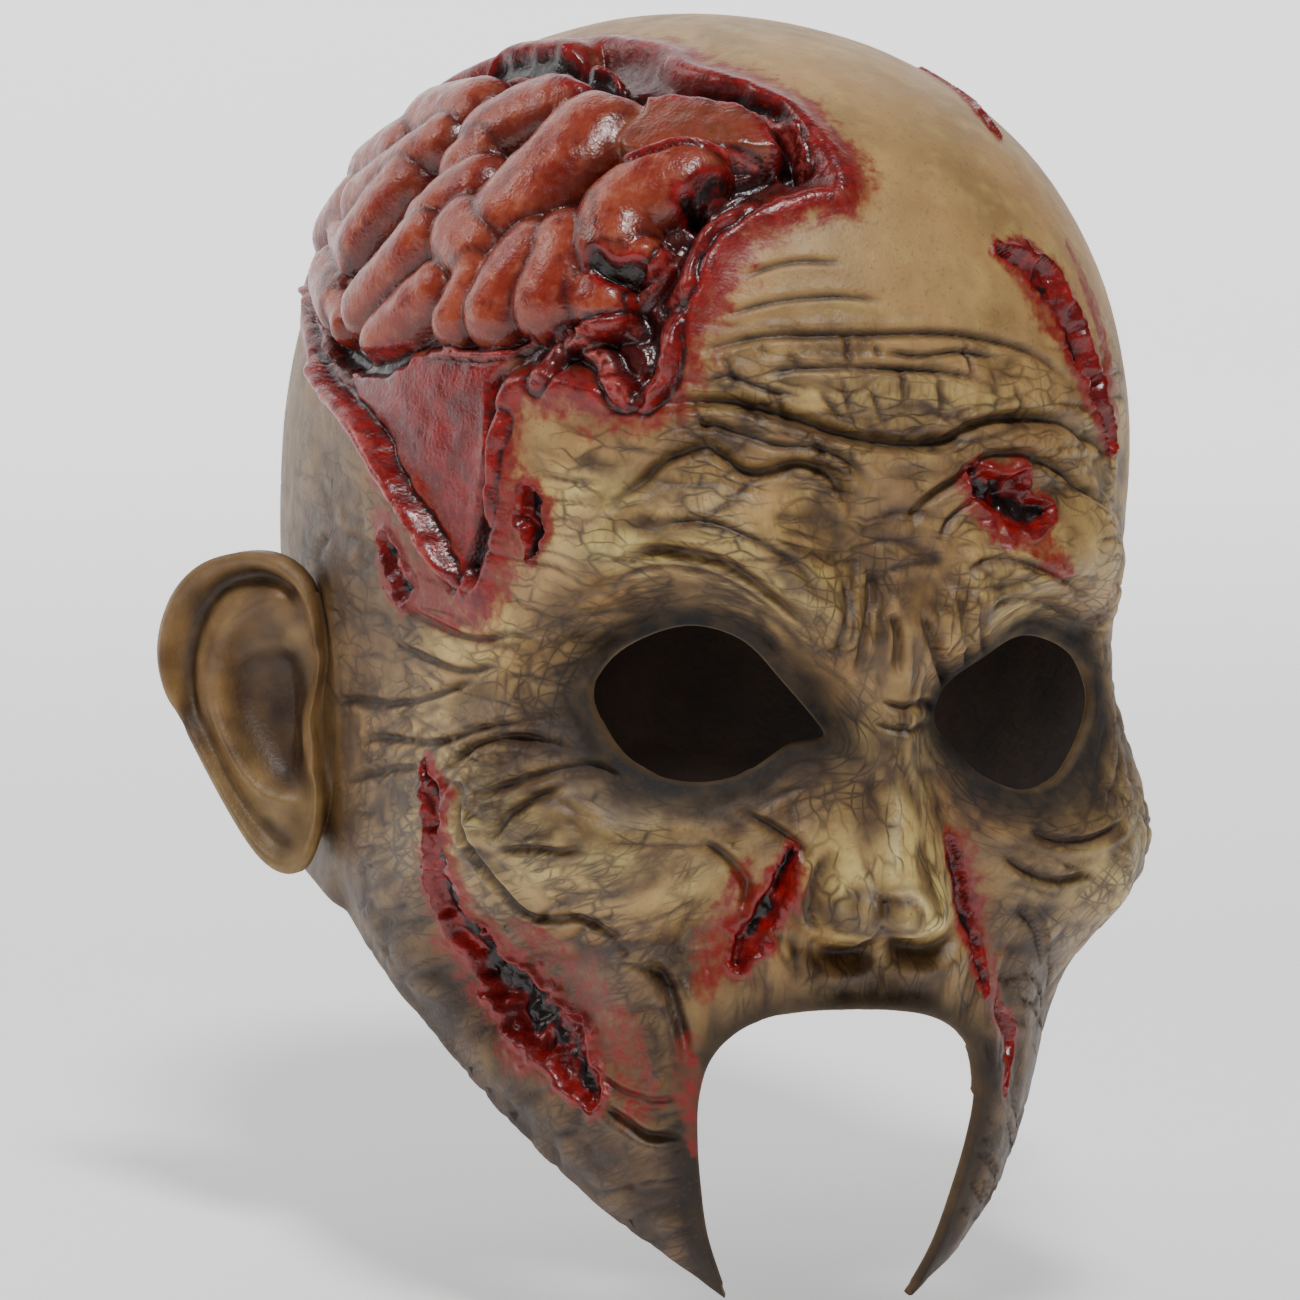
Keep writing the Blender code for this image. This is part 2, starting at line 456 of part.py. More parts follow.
def latex_skin():
    rows = int(round(1.29 * HEAD_HEIGHT / FINEST / 8)) * 8
    angles = np.linspace(-math.pi, math.pi, 2001)
    ring = bare_head(angles, np.full(2001, row_at(0.8 * EYE_DOWN)))
    run = np.concatenate([[0], np.cumsum(np.linalg.norm(np.diff(ring, axis=0), axis=1))])
    columns = int(round(run[-1] / FINEST / 8)) * 8
    column_turn = lambda j: np.interp(j / columns * run[-1], run, angles)

    jj, ii = np.meshgrid(np.arange(columns), np.arange(rows + 1))
    shift = np.zeros((2, rows + 1, columns))

    def turn_and_row():
        turn = column_turn(jj + shift[1])
        return turn.ravel(), ((ii + shift[0]) / rows * rim_row(turn)).ravel()

    bare = bare_head(*turn_and_row())
    hole = opening_distance(bare).reshape(rows + 1, columns)
    root = ear_gap(bare).reshape(rows + 1, columns)
    gap = np.minimum(hole, root)
    on_edge = np.zeros(gap.shape, bool)
    best = np.full(gap.shape, 1.0)
    for axis, (di, dj) in enumerate(((1, 0), (0, 1))):
        other = np.roll(gap, (-di, -dj), (0, 1))
        crossing = (gap < 0) != (other < 0)
        if di:
            crossing[-1] = False
        for i, j in zip(*np.nonzero(crossing)):
            at = gap[i, j] / (gap[i, j] - other[i, j])
            i2, j2 = (i, j) if at < 0.5 else (i + di, (j + dj) % columns)
            move = at if at < 0.5 else at - 1
            on_edge[i2, j2] = True
            if abs(move) < best[i2, j2]:
                best[i2, j2] = abs(move)
                shift[:, i2, j2] = 0
                shift[axis, i2, j2] = move
    turn, row = turn_and_row()

    points = bare.reshape(rows + 1, columns, 3)
    middle = (points[:-1] + points[1:]) / 2
    wound = flat_distance(wound_map(middle.reshape(-1, 3)), WOUND_EDGE, True).reshape(rows, columns)
    across, front, down = np.abs(middle[..., 0]), middle[..., 1] < -0.04 * HEAD_LENGTH, -middle[..., 2]
    near = 1.5 * FINEST
    size = np.full((rows, columns), 4)
    size[front & (down > 0.34 * EYE_DOWN) | (wound < near)] = 2
    size[front & (down > 0.8 * EYE_DOWN) & (across < 0.105 * HEAD_WIDTH) | (np.abs(root[:-1]) < near)] = 1
    inner_size = np.full((rows, columns), 4)
    inner_size[front & (down > 0.7 * EYE_DOWN) & (down < 1.4 * EYE_DOWN) & (across < 0.36 * HEAD_WIDTH)] = 2
    for one in (size, inner_size):
        one[-4:] = 2
        one[np.abs(hole[:-1]) < near] = 1
        one[:4] = 4

    numbers = {}
    corners, faces, borders = [], [], []
    for layer, sizes in enumerate((size, inner_size)):
        cells = skin_cells(columns, rows, sizes)
        cells = cut_cells(cells, hole, on_edge & (hole < root)) if layer else cut_cells(cells, gap, on_edge)
        borders.append(open_edges(cells))
        for cell in cells:
            ring = []
            for i, j in cell:
                key = (layer, 0, 0) if i == 0 else (layer, i, j)
                if key not in numbers:
                    numbers[key] = len(numbers)
                    corners.append((layer, i * columns + j))
                if not ring or ring[-1] != numbers[key]:
                    ring.append(numbers[key])
            if ring[0] == ring[-1]:
                ring.pop()
            faces.append(ring if layer else ring[::-1])
    inner_border = set(borders[1])
    for a, b in borders[0]:
        if (a, b) in inner_border:
            faces.append([numbers[(0, *a)], numbers[(0, *b)], numbers[(1, *b)], numbers[(1, *a)]])
    layer, spot = np.array(corners).T
    spots = np.empty((len(corners), 3))
    spots[layer == 0] = skin(turn[spot[layer == 0]], row[spot[layer == 0]])
    spots[layer == 1] = inner_skin(turn[spot[layer == 1]], row[spot[layer == 1]])

    following = {numbers[(0, *a)]: numbers[(0, *b)] for a, b in borders[0] if (a, b) not in inner_border}
    for side in (-1, 1):
        start = next(k for k in following if spots[k, 0] * side > 0)
        loop = [start]
        while following[loop[-1]] != start:
            loop.append(following[loop[-1]])
        last = loop
        for ring in ear_rings(side, spots[loop]):
            flat = len(ring) if np.ptp(ring, axis=0).max() > 0.02 * FINEST else 1
            new = [len(spots) + k % flat for k in range(len(loop))]
            spots = np.concatenate([spots, ring[:flat]])
            for k in range(len(loop)):
                quad = [last[k - 1], last[k], new[k], new[k - 1]]
                faces.append(quad if flat > 1 else quad[:3])
            last = new
    return spots, faces


def cut_cells(cells, gap, on_edge):
    """The cells that the openings leave, cut to a triangle where an outline passes a corner."""
    kept = []
    for cell in cells:
        state = [0 if on_edge[c] else (1 if gap[c] > 0 else -1) for c in cell]
        if min(state) > 0:
            kept.append(cell)
        elif min(state) == 0 and max(state) == 1:
            kept.append(cell)
        elif max(state) == 1 and min(state) == -1:
            rest = [c for c, s in zip(cell, state) if s >= 0]
            if len(rest) >= 3:
                kept.append(rest)
    return kept


def open_edges(cells):
    """Edges that only one cell has, in that cell's direction."""
    edges = {(cell[k - 1], cell[k]) for cell in cells for k in range(len(cell))}
    return [(a, b) for a, b in edges if (b, a) not in edges and (a[0] or b[0])]


def latex_material():
    material = bpy.data.materials.new("painted_latex")
    material.use_nodes = True
    shader = material.node_tree.nodes["Principled BSDF"]
    shader.inputs["Base Color"].default_value = SKIN_LATEX
    shader.inputs["Roughness"].default_value = 0.55
    return material


for item in list(bpy.data.objects):
    bpy.data.objects.remove(item, do_unlink=True)
spots, faces = latex_skin()
mesh = bpy.data.meshes.new("latex_skin")
mesh.from_pydata([tuple(spot) for spot in spots], [], faces)
mesh.materials.append(latex_material())
mesh.validate()
skin_object = bpy.data.objects.new("latex_skin", mesh)
bpy.context.scene.collection.objects.link(skin_object)
print(len(mesh.vertices), "corners,", sum(len(face.vertices) - 2 for face in mesh.polygons), "triangles")
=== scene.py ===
# %% [markdown]
# # A torn latex face that pulls over the head
# The real mask is one skin of cast latex. A sculptor presses every wrinkle into clay, a plaster mould
# is taken, latex is poured in, and the cast is washed with thin brown paint that stays in the
# wrinkles and brushed with pale paint that stays on the high places. The scene follows that order:
# bare head, broad forms, wrinkles, wounds, then the paint.

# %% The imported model
import math

import bpy
import numpy as np
from mathutils import Matrix, Vector
from mathutils.bvhtree import BVHTree
from mathutils.kdtree import KDTree


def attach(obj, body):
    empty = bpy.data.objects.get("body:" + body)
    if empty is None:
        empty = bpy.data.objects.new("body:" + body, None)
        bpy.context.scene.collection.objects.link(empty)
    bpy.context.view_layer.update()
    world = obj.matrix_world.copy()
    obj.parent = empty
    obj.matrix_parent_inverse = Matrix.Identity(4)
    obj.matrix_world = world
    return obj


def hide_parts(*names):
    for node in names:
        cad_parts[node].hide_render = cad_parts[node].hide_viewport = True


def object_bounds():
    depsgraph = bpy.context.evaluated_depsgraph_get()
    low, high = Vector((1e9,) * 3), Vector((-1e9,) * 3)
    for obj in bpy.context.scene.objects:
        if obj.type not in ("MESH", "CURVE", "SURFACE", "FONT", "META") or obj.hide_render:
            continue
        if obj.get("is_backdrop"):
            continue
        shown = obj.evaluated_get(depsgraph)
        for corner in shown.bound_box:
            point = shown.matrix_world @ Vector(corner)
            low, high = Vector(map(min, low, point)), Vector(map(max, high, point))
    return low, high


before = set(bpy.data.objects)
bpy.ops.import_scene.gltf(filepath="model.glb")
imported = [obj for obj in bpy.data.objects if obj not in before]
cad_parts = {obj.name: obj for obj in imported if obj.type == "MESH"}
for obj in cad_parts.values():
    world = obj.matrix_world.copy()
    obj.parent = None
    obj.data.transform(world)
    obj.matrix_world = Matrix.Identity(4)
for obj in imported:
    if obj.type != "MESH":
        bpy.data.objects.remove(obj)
cad_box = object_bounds()
MM = 0.001
print("nodes:", sorted(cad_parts))

# %% [markdown]
# ## The camera
# A product photograph is taken from far off with a long lens, so the face keeps its proportions.
# The camera is built from three directions: back towards it, to its right and up. The same three
# say which way a pixel of the photograph looks, and that is how the wrinkles find their place.

# %% Camera
AZIMUTH, ELEVATION, ROLL = map(math.radians, (-23.0, 9.0, 5.0))
DISTANCE = 1.5
AIM = np.array([0.0, 0.0, -0.128])
AIM_PIXEL = (688.0, 650.0)
PIXELS_PER_MM = 4.95
PICTURE = 1300.0

back = np.array([math.sin(AZIMUTH) * math.cos(ELEVATION), -math.cos(AZIMUTH) * math.cos(ELEVATION),
                 math.sin(ELEVATION)])
level_right = np.array([math.cos(AZIMUTH), math.sin(AZIMUTH), 0.0])
level_up = np.cross(back, level_right)
right = level_right * math.cos(ROLL) + level_up * math.sin(ROLL)
up = level_up * math.cos(ROLL) - level_right * math.sin(ROLL)
shift_mm = ((AIM_PIXEL[0] - PICTURE / 2) / PIXELS_PER_MM, (PICTURE / 2 - AIM_PIXEL[1]) / PIXELS_PER_MM)
middle = AIM - right * shift_mm[0] * MM - up * shift_mm[1] * MM
eye = middle + back * DISTANCE

lens = bpy.data.cameras.new("product_camera")
lens.sensor_width = 36.0
lens.lens = 36.0 * DISTANCE / (PICTURE / PIXELS_PER_MM * MM)
camera = bpy.data.objects.new("product_camera", lens)
camera.matrix_world = Matrix([[*row, e] for row, e in zip(np.stack([right, up, back], 1), eye)] + [[0, 0, 0, 1]])
bpy.context.scene.collection.objects.link(camera)
bpy.context.scene.camera = camera
print("lens", round(lens.lens, 1), "mm")

# %% [markdown]
# ## The bare head
# A head is egg-shaped, but its front is flatter than its back and its sides run nearly straight, so
# each level is a squarish oval with its own width, front and back. A smooth curve through the
# levels gives every level between them. Every place on the skin is then a turn round the head and a
# row down it.

# %% Bare head
HEAD_HEIGHT, HEAD_WIDTH, HEAD_LENGTH = 256 * MM, 158 * MM, 204 * MM
WALL = 2.4 * MM
EYE_DOWN, MOUTH_TOP_DOWN = 123 * MM, 180 * MM
EAR_DOWN, EAR_BACK = 144.5 * MM, 10 * MM
EAR_ROOT_WIDTH, EAR_ROOT_HEIGHT = 22 * MM, 47 * MM
SECTION = np.array([
    # down, half_width, front, back, square
    (0.000, 0.00, 0.00, 0.00, 2.00),
    (0.004, 0.17, 0.20, 0.18, 2.00),
    (0.018, 0.36, 0.40, 0.37, 2.00),
    (0.050, 0.57, 0.60, 0.59, 2.05),
    (0.100, 0.75, 0.76, 0.77, 2.10),
    (0.170, 0.89, 0.875, 0.90, 2.15),
    (0.250, 0.97, 0.94, 0.98, 2.20),
    (0.330, 1.00, 0.965, 1.02, 2.25),
    (0.410, 0.99, 0.97, 1.03, 2.30),
    (0.490, 0.965, 0.95, 1.00, 2.35),
    (0.570, 0.94, 0.93, 0.94, 2.35),
    (0.650, 0.92, 0.92, 0.86, 2.35),
    (0.730, 0.90, 0.925, 0.79, 2.30),
    (0.810, 0.855, 0.94, 0.73, 2.25),
    (0.890, 0.77, 0.945, 0.68, 2.20),
    (0.960, 0.67, 0.96, 0.64, 2.15),
    (1.020, 0.57, 0.96, 0.60, 2.10),
])
RIM_CHIN = 0.977
RIM = (1.0, 0.875, 0.722, 0.583, 0.417, 0.222, 0.042, 0.0, 0.014, 0.056, 0.111, 0.153, 0.167)


def smooth_curve(share, values):
    values = np.asarray(values, float)
    last = len(values) - 1
    at = np.clip(share, 0, 1) * last
    low = np.minimum(at.astype(int), last - 1)
    part = at - low
    padded = np.concatenate([[2 * values[0] - values[1]], values, [2 * values[-1] - values[-2]]])
    a, b, c, d = (padded[low + k] for k in range(4))
    return 0.5 * (2 * b + (c - a) * part + (2 * a - 5 * b + 4 * c - d) * part**2 + (3 * b - a - 3 * c + d) * part**3)


def smooth_line(points, steps, closed=False):
    """More points on a smooth line through the given ones."""
    points = np.asarray(points, float)
    if closed:
        points = np.concatenate([points[-1:], points, points[:2]])
        many = np.linspace(1, len(points) - 2, (len(points) - 3) * steps, endpoint=False) / (len(points) - 1)
    else:
        many = np.linspace(0, 1, (len(points) - 1) * steps + 1)
    return np.stack([smooth_curve(many, points[:, k]) for k in range(points.shape[1])], -1)


FINE_ROWS = np.linspace(0, 1, 1601)
FINE_DOWN = np.maximum.accumulate(smooth_curve(FINE_ROWS, SECTION[:, 0]) * HEAD_HEIGHT)


def row_at(down):
    return np.interp(down, FINE_DOWN, FINE_ROWS)


def level_down(level):
    """Levels of the face: 0 crown, 1 eyes, 2 top of the mouth, 3 lowest section."""
    return np.interp(level, (0, 1, 2, 3), (0, EYE_DOWN, MOUTH_TOP_DOWN, HEAD_HEIGHT))


def rim_row(turn):
    side, chin = EAR_DOWN + EAR_ROOT_HEIGHT / 2 + 10 * MM, RIM_CHIN * HEAD_HEIGHT
    return row_at(side + (chin - side) * smooth_curve(np.abs(turn) / math.pi, RIM))


def bare_head(turn, row):
    width = HEAD_WIDTH / 2 * smooth_curve(row, SECTION[:, 1])
    front, behind = (HEAD_LENGTH / 2 * smooth_curve(row, SECTION[:, k]) for k in (2, 3))
    square = smooth_curve(row, SECTION[:, 4])
    cos, sin = np.cos(turn), np.sin(turn)
    x = width * np.sign(sin) * np.abs(sin) ** (2 / square)
    y = np.where(cos > 0, -front, behind) * np.abs(cos) ** (2 / square)
    return np.stack([x, y, -HEAD_HEIGHT * smooth_curve(row, SECTION[:, 0])], -1)


def outward(turn, row):
    row = np.maximum(row, 0.02)
    low, high = np.maximum(row - 0.004, 0.001), np.minimum(row + 0.004, 1)
    round_it = bare_head(turn + 0.02, row) - bare_head(turn - 0.02, row)
    down_it = bare_head(turn, high) - bare_head(turn, low)
    normal = np.cross(down_it, round_it)
    return normal / np.linalg.norm(normal, axis=-1, keepdims=True)


# %% [markdown]
# ## Broad forms
# Cheekbones, sockets, brow and nose are pushed out of the bare head or pressed into it, as a sculptor
# adds and takes clay: round lumps, each with its width, height and tilt, and long rolls along a line.

# %% Lumps and rolls
RELIEF, NOSE_RISE = 10 * MM, 15 * MM
MASSES = [
    # side, turn, level, across, along, tilt, lift, follow
    (0, 0, 0.845, 0.070, 0.076, 0, 0.30, 0.9),
    (2, 24, 0.985, 0.095, 0.082, -6, -0.90, 1.0),
    (2, 10.5, 0.975, 0.041, 0.051, 0, -0.55, 1.0),
    (2, 30, 0.88, 0.095, 0.038, 8, -0.30, 1.0),
    (2, 24, 1.40, 0.101, 0.032, 0, 0.25, 0.8),
    (2, 53, 1.42, 0.114, 0.089, 18, 1.10, 0.95),
    (2, 34, 1.545, 0.095, 0.063, 14, 0.65, 0.95),
    (-1, 50, 2.013, 0.127, 0.076, 24, -0.60, 1.0),
    (1, 46, 2.0, 0.089, 0.063, 24, -0.20, 1.0),
    (1, 56, 1.737, 0.089, 0.076, 0, 0.50, 1.0),
    (2, 64, 0.813, 0.089, 0.101, 0, -0.20, 1.0),
    (0, 0, 1.93, 0.158, 0.082, 0, 0.45, 1.0),
    (2, 25, 2.184, 0.057, 0.089, 0, 0.30, 1.0),
    (2, 2.6, 1.614, 0.035, 0.038, 0, 0.45, 0.5),
    (2, 6.5, 1.561, 0.038, 0.041, 0, 0.40, 0.6),
    (2, 30, 2.553, 0.089, 0.114, 0, 0.25, 1.0),
    (2, 74, 1.86, 0.101, 0.127, 0, 0.25, 1.0),
]
ROLLS = [
    # name, side, follow, [(turn, level, lift, half_width), ...]
    ("nose", 0, 0.9, [(0, 0.88, 0.20, 0.051), (0, 0.975, 0.40, 0.047), (0, 1.175, 0.63, 0.051),
                      (0, 1.40, 0.90, 0.063), (0, 1.56, 1.00, 0.073)]),
    ("under_nose", 2, 0.3, [(0, 1.79, -0.40, 0.025), (4, 1.79, -0.40, 0.025), (8, 1.755, -0.30, 0.025)]),
    ("brow", 2, 0.9, [(46, 0.845, 0.20, 0.051), (37, 0.77, 0.45, 0.057), (26, 0.74, 0.60, 0.057),
                      (15, 0.78, 0.60, 0.051), (8, 0.86, 0.50, 0.038)]),
    ("cheek_fold", 2, 0.8, [(9, 1.525, -0.20, 0.032), (17, 1.684, -0.30, 0.038), (25, 1.93, -0.30, 0.041),
                            (31, 2.21, -0.20, 0.038)]),
    ("forehead_line", 0, 0.0, [(-34, 0.52, -0.10, 0.022), (-20, 0.52, -0.12, 0.022), (-6, 0.56, -0.14, 0.022),
                               (7, 0.57, -0.14, 0.022), (20, 0.537, -0.12, 0.022), (36, 0.585, -0.10, 0.022)]),
    ("jaw_turn", 2, 1.0, [(88, 2.013, -0.20, 0.038), (60, 2.38, -0.20, 0.038), (30, 2.71, -0.20, 0.038),
                          (14, 2.87, -0.20, 0.038)]),
    ("neck_fold", 2, 0.0, [(115, 1.65, -0.12, 0.025), (145, 1.79, -0.18, 0.025), (180, 1.825, -0.20, 0.025)]),
]


def line_distance(points, corners):
    """Distance to a line of corners and where along it the nearest point is, counted in corners."""
    best, where = np.full(points.shape[:-1], 1e9), np.zeros(points.shape[:-1])
    for k in range(len(corners) - 1):
        start, run = corners[k], corners[k + 1] - corners[k]
        share = np.clip((points - start) @ run / max(run @ run, 1e-12), 0, 1)
        away = np.linalg.norm(points - start - share[..., None] * run, axis=-1)
        nearer = away < best
        best[nearer], where[nearer] = away[nearer], (k + share)[nearer]
    return best, where


def lump(points, side, turn, level, across, along, tilt):
    turn, row = np.radians([float(side * turn)]), row_at(np.array([level_down(level)]))
    out, centre = outward(turn, row)[0], bare_head(turn, row)[0]
    round_way = -np.cross(out, (0, 0, 1))
    round_way /= np.linalg.norm(round_way)
    lean, offset = math.radians(tilt * side), (points - centre) / HEAD_WIDTH
    a, b = offset @ round_way, offset @ np.cross(out, round_way) * -1
    a, b = a * math.cos(lean) + b * math.sin(lean), b * math.cos(lean) - a * math.sin(lean)
    return np.exp(-0.5 * ((a / across) ** 2 + (b / along) ** 2 + (offset @ out / 0.285) ** 2))


def roll(points, rows, side):
    rows = np.asarray(rows, float)
    many = np.linspace(0, 1, 4 * (len(rows) - 1) + 1)
    turn, level, lift, half = (smooth_curve(many, rows[:, k]) for k in range(4))
    corners = bare_head(np.radians(side * turn), row_at(level_down(level)))
    away, where = line_distance(points, corners)
    steps = np.arange(len(many))
    return np.interp(where, steps, lift) * np.exp(-((away / HEAD_WIDTH / np.interp(where, steps, half)) ** 2.4))


def broad_lift(points, inside=False):
    lift = np.zeros(len(points))
    for where, turn, level, across, along, tilt, height, follow in MASSES:
        for side in {0: (1,), 2: (-1, 1)}.get(where, (where,)):
            form = RELIEF * height * lump(points, side, turn, level, across, along, tilt)
            lift += (follow if inside else 1) * form
    for name, where, follow, rows in ROLLS:
        if inside and not follow:
            continue
        forms = [roll(points, rows, side) for side in {0: (1,), 2: (-1, 1)}[where]]
        strongest = forms[0] if len(forms) == 1 else np.where(abs(forms[0]) > abs(forms[1]), *forms)
        lift += (follow if inside else 1) * (NOSE_RISE if name == "nose" else RELIEF) * strongest
    return lift


# %% [markdown]
# ## Openings
# Two eye holes and a tall arch below the nose are cut with scissors from the front, so each is an
# outline seen from the front.

# %% Openings
EYE_SIZE, EYE_PLACE = np.array([43.5, 29.5]) * MM, np.array([34.5, 123.0]) * MM
MOUTH_SIZE = np.array([57.0 / 2 * MM, RIM_CHIN * HEAD_HEIGHT - MOUTH_TOP_DOWN])
EYE_OUTLINES = {
    # side: (away from the nose, down), ...
    -1: [(-0.563, 0.17), (-0.391, 0.305), (-0.184, 0.49), (0.046, 0.54), (0.253, 0.44), (0.391, 0.20),
         (0.437, -0.03), (0.356, -0.29), (0.138, -0.46), (-0.115, -0.41), (-0.322, -0.17)],
    1: [(-0.46, 0.085), (-0.345, 0.29), (-0.184, 0.475), (0.023, 0.56), (0.23, 0.475), (0.402, 0.237),
        (0.494, -0.03), (0.414, -0.305), (0.184, -0.44), (-0.069, -0.39), (-0.299, -0.17)],
}
MOUTH_OUTLINE = [
    # across, down
    (0.0, 0.0), (0.28, 0.003), (0.56, 0.023), (0.79, 0.071), (0.947, 0.157), (1.0, 0.271), (0.982, 0.40),
    (0.93, 0.53), (0.86, 0.657), (0.754, 0.786), (0.65, 0.914), (0.60, 1.15),
]


def flat_distance(points, line, closed):
    """Distance to a flat line; inside a closed one it is negative."""
    ends = np.roll(line, -1, axis=0) if closed else line[1:]
    starts = line if closed else line[:-1]
    best, inside = np.full(points.shape[:-1], 1e9), np.zeros(points.shape[:-1], bool)
    for a, b in zip(starts, ends):
        run = b - a
        share = np.clip((points - a) @ run / max(run @ run, 1e-12), 0, 1)
        best = np.minimum(best, np.linalg.norm(points - a - share[..., None] * run, axis=-1))
        if closed and a[1] != b[1]:
            spans = (a[1] > points[..., 1]) != (b[1] > points[..., 1])
            inside ^= spans & (points[..., 0] < a[0] + (points[..., 1] - a[1]) / run[1] * run[0])
    return np.where(inside, -best, best)


def opening_distances(points):
    """Signed distances to the eye holes and to the arch, far away behind the head."""
    flat = np.stack([np.abs(points[..., 0]), -points[..., 2]], -1)
    arch = smooth_line(MOUTH_OUTLINE, 6) * MOUTH_SIZE + (0, MOUTH_TOP_DOWN)
    mouth = flat_distance(flat, np.concatenate([arch, arch[::-1] * (-1, 1)]), True)
    eyes = {side: flat_distance(flat, smooth_line(outline, 6, True) * EYE_SIZE + EYE_PLACE, True)
            for side, outline in EYE_OUTLINES.items()}
    eyes = np.where(points[..., 0] > 0, eyes[1], eyes[-1])
    behind = points[..., 1] >= 0
    return np.where(behind, HEAD_WIDTH, eyes), np.where(behind, HEAD_WIDTH, mouth)


def ear_gap(points):
    half = np.array([EAR_ROOT_WIDTH, EAR_ROOT_HEIGHT]) / 2
    flat = np.stack([points[..., 1] - EAR_BACK, points[..., 2] + EAR_DOWN], -1) / half
    away = (np.linalg.norm(flat, axis=-1) - 1) * half.min()
    return np.where(np.abs(points[..., 0]) > HEAD_WIDTH / 4, away, HEAD_WIDTH)


# %% [markdown]
# ## The lattice
# All the fine work is done on one lattice of places, 0.65 mm apart, that runs round the head and down
# to the cut edge. A fold only touches the few places near it, and noise takes them all at once, so
# both stay quick.
# Places next to a cut are pulled onto it first, so that the scissors leave a clean edge.

# %% Lattice
FINEST = 0.65 * MM
ROWS = int(round(1.29 * HEAD_HEIGHT / FINEST / 8)) * 8
angles = np.linspace(-math.pi, math.pi, 2001)
ring = bare_head(angles, np.full(2001, row_at(0.8 * EYE_DOWN)))
ring_run = np.concatenate([[0], np.cumsum(np.linalg.norm(np.diff(ring, axis=0), axis=1))])
COLUMNS = int(round(ring_run[-1] / FINEST / 8)) * 8
jj, ii = np.meshgrid(np.arange(COLUMNS), np.arange(ROWS + 1))
nudge = np.zeros((2, ROWS + 1, COLUMNS))


def turn_and_row():
    turn = np.interp((jj + nudge[1]) / COLUMNS * ring_run[-1], ring_run, angles)
    return turn, (ii + nudge[0]) / ROWS * rim_row(turn)


TURN, ROW = turn_and_row()
bare = bare_head(TURN, ROW)
hole = np.minimum(*opening_distances(bare))
root = ear_gap(bare)
gap = np.minimum(hole, root)
on_edge = np.zeros(gap.shape, bool)
nearest = np.full(gap.shape, 1.0)
for axis, (di, dj) in enumerate(((1, 0), (0, 1))):
    other = np.roll(gap, (-di, -dj), (0, 1))
    crossing = (gap < 0) != (other < 0)
    if di:
        crossing[-1] = False
    for i, j in zip(*np.nonzero(crossing)):
        at = gap[i, j] / (gap[i, j] - other[i, j])
        i2, j2 = (i, j) if at < 0.5 else (i + di, (j + dj) % COLUMNS)
        move = at if at < 0.5 else at - 1
        on_edge[i2, j2] = True
        if abs(move) < nearest[i2, j2]:
            nearest[i2, j2] = abs(move)
            nudge[:, i2, j2] = 0
            nudge[axis, i2, j2] = move
TURN, ROW = turn_and_row()
bare = bare_head(TURN, ROW)
out_way = outward(TURN, ROW)
broad = bare + out_way * broad_lift(bare.reshape(-1, 3)).reshape(TURN.shape)[..., None]
eye_away, mouth_away = opening_distances(bare)
print("lattice", ROWS, "rows by", COLUMNS, "columns")

# %% [markdown]
# ## From the photograph to the skin
# A pixel of the photograph is a ray from the camera. Where the ray meets the broad form is where a
# wrinkle or the edge of a wound lies on the skin, so each is written down as the pixels it runs
# through. What the photograph doesn't show is written as turns and levels instead.

# %% Pixels onto the skin
COARSE = 4
coarse = broad[::COARSE, ::COARSE]
tall, wide = coarse.shape[:2]
corner = np.arange(tall * wide).reshape(tall, wide)
beside = np.roll(corner, -1, 1)
quads = np.stack([corner[:-1], beside[:-1], beside[1:], corner[1:]], -1).reshape(-1, 4)
surface = BVHTree.FromPolygons([Vector(p) for p in coarse.reshape(-1, 3)], quads.tolist())
places = KDTree(tall * wide)
for k, p in enumerate(coarse.reshape(-1, 3)):
    places.insert(p, k)
places.balance()


def on_skin(pixels):
    """Where the pixels' rays meet the skin; a ray that just misses takes the nearest place."""
    spots = []
    for px, py in pixels:
        across, rise = (px - PICTURE / 2) / PIXELS_PER_MM * MM, (PICTURE / 2 - py) / PIXELS_PER_MM * MM
        ray = middle + right * across + up * rise - eye
        ray /= np.linalg.norm(ray)
        hit = surface.ray_cast(Vector(eye), Vector(ray))[0]
        if hit is None:
            hit = surface.find_nearest(Vector(eye + ray * (middle - eye) @ ray))[0]
        spots.append(np.array(hit))
    return np.array(spots)


def on_head(spots):
    """Places given as turn and level."""
    spots = np.asarray(spots, float)
    turn, row = np.radians(spots[:, 0]), row_at(level_down(spots[:, 1]))
    points = bare_head(turn, row)
    return points + outward(turn, row) * broad_lift(points)[:, None]


def window(spots, reach):
    """The part of the lattice within reach of a line."""
    found = [divmod(places.find(Vector(s))[1], wide) for s in spots]
    rows, cols = (np.array(f) * COARSE for f in zip(*found))
    pad = int(reach / FINEST) + COARSE + 2
    return (slice(max(rows.min() - pad, 0), min(rows.max() + pad, ROWS) + 1),
            slice(max(cols.min() - pad, 0), min(cols.max() + pad, COLUMNS)))


print("skin to draw on:", tall * wide, "places")

# %% [markdown]
# ## Forms that the folds lie in
# A fold needs flesh to lie in. Before any wrinkle is pressed, the sculptor rolls out a brow, the
# two drooping lobes of the nose tip, a cheekbone and the lid, and presses hollows beside them. Each
# is a soft mound or dip along a short line, smaller and sharper than the broad forms.

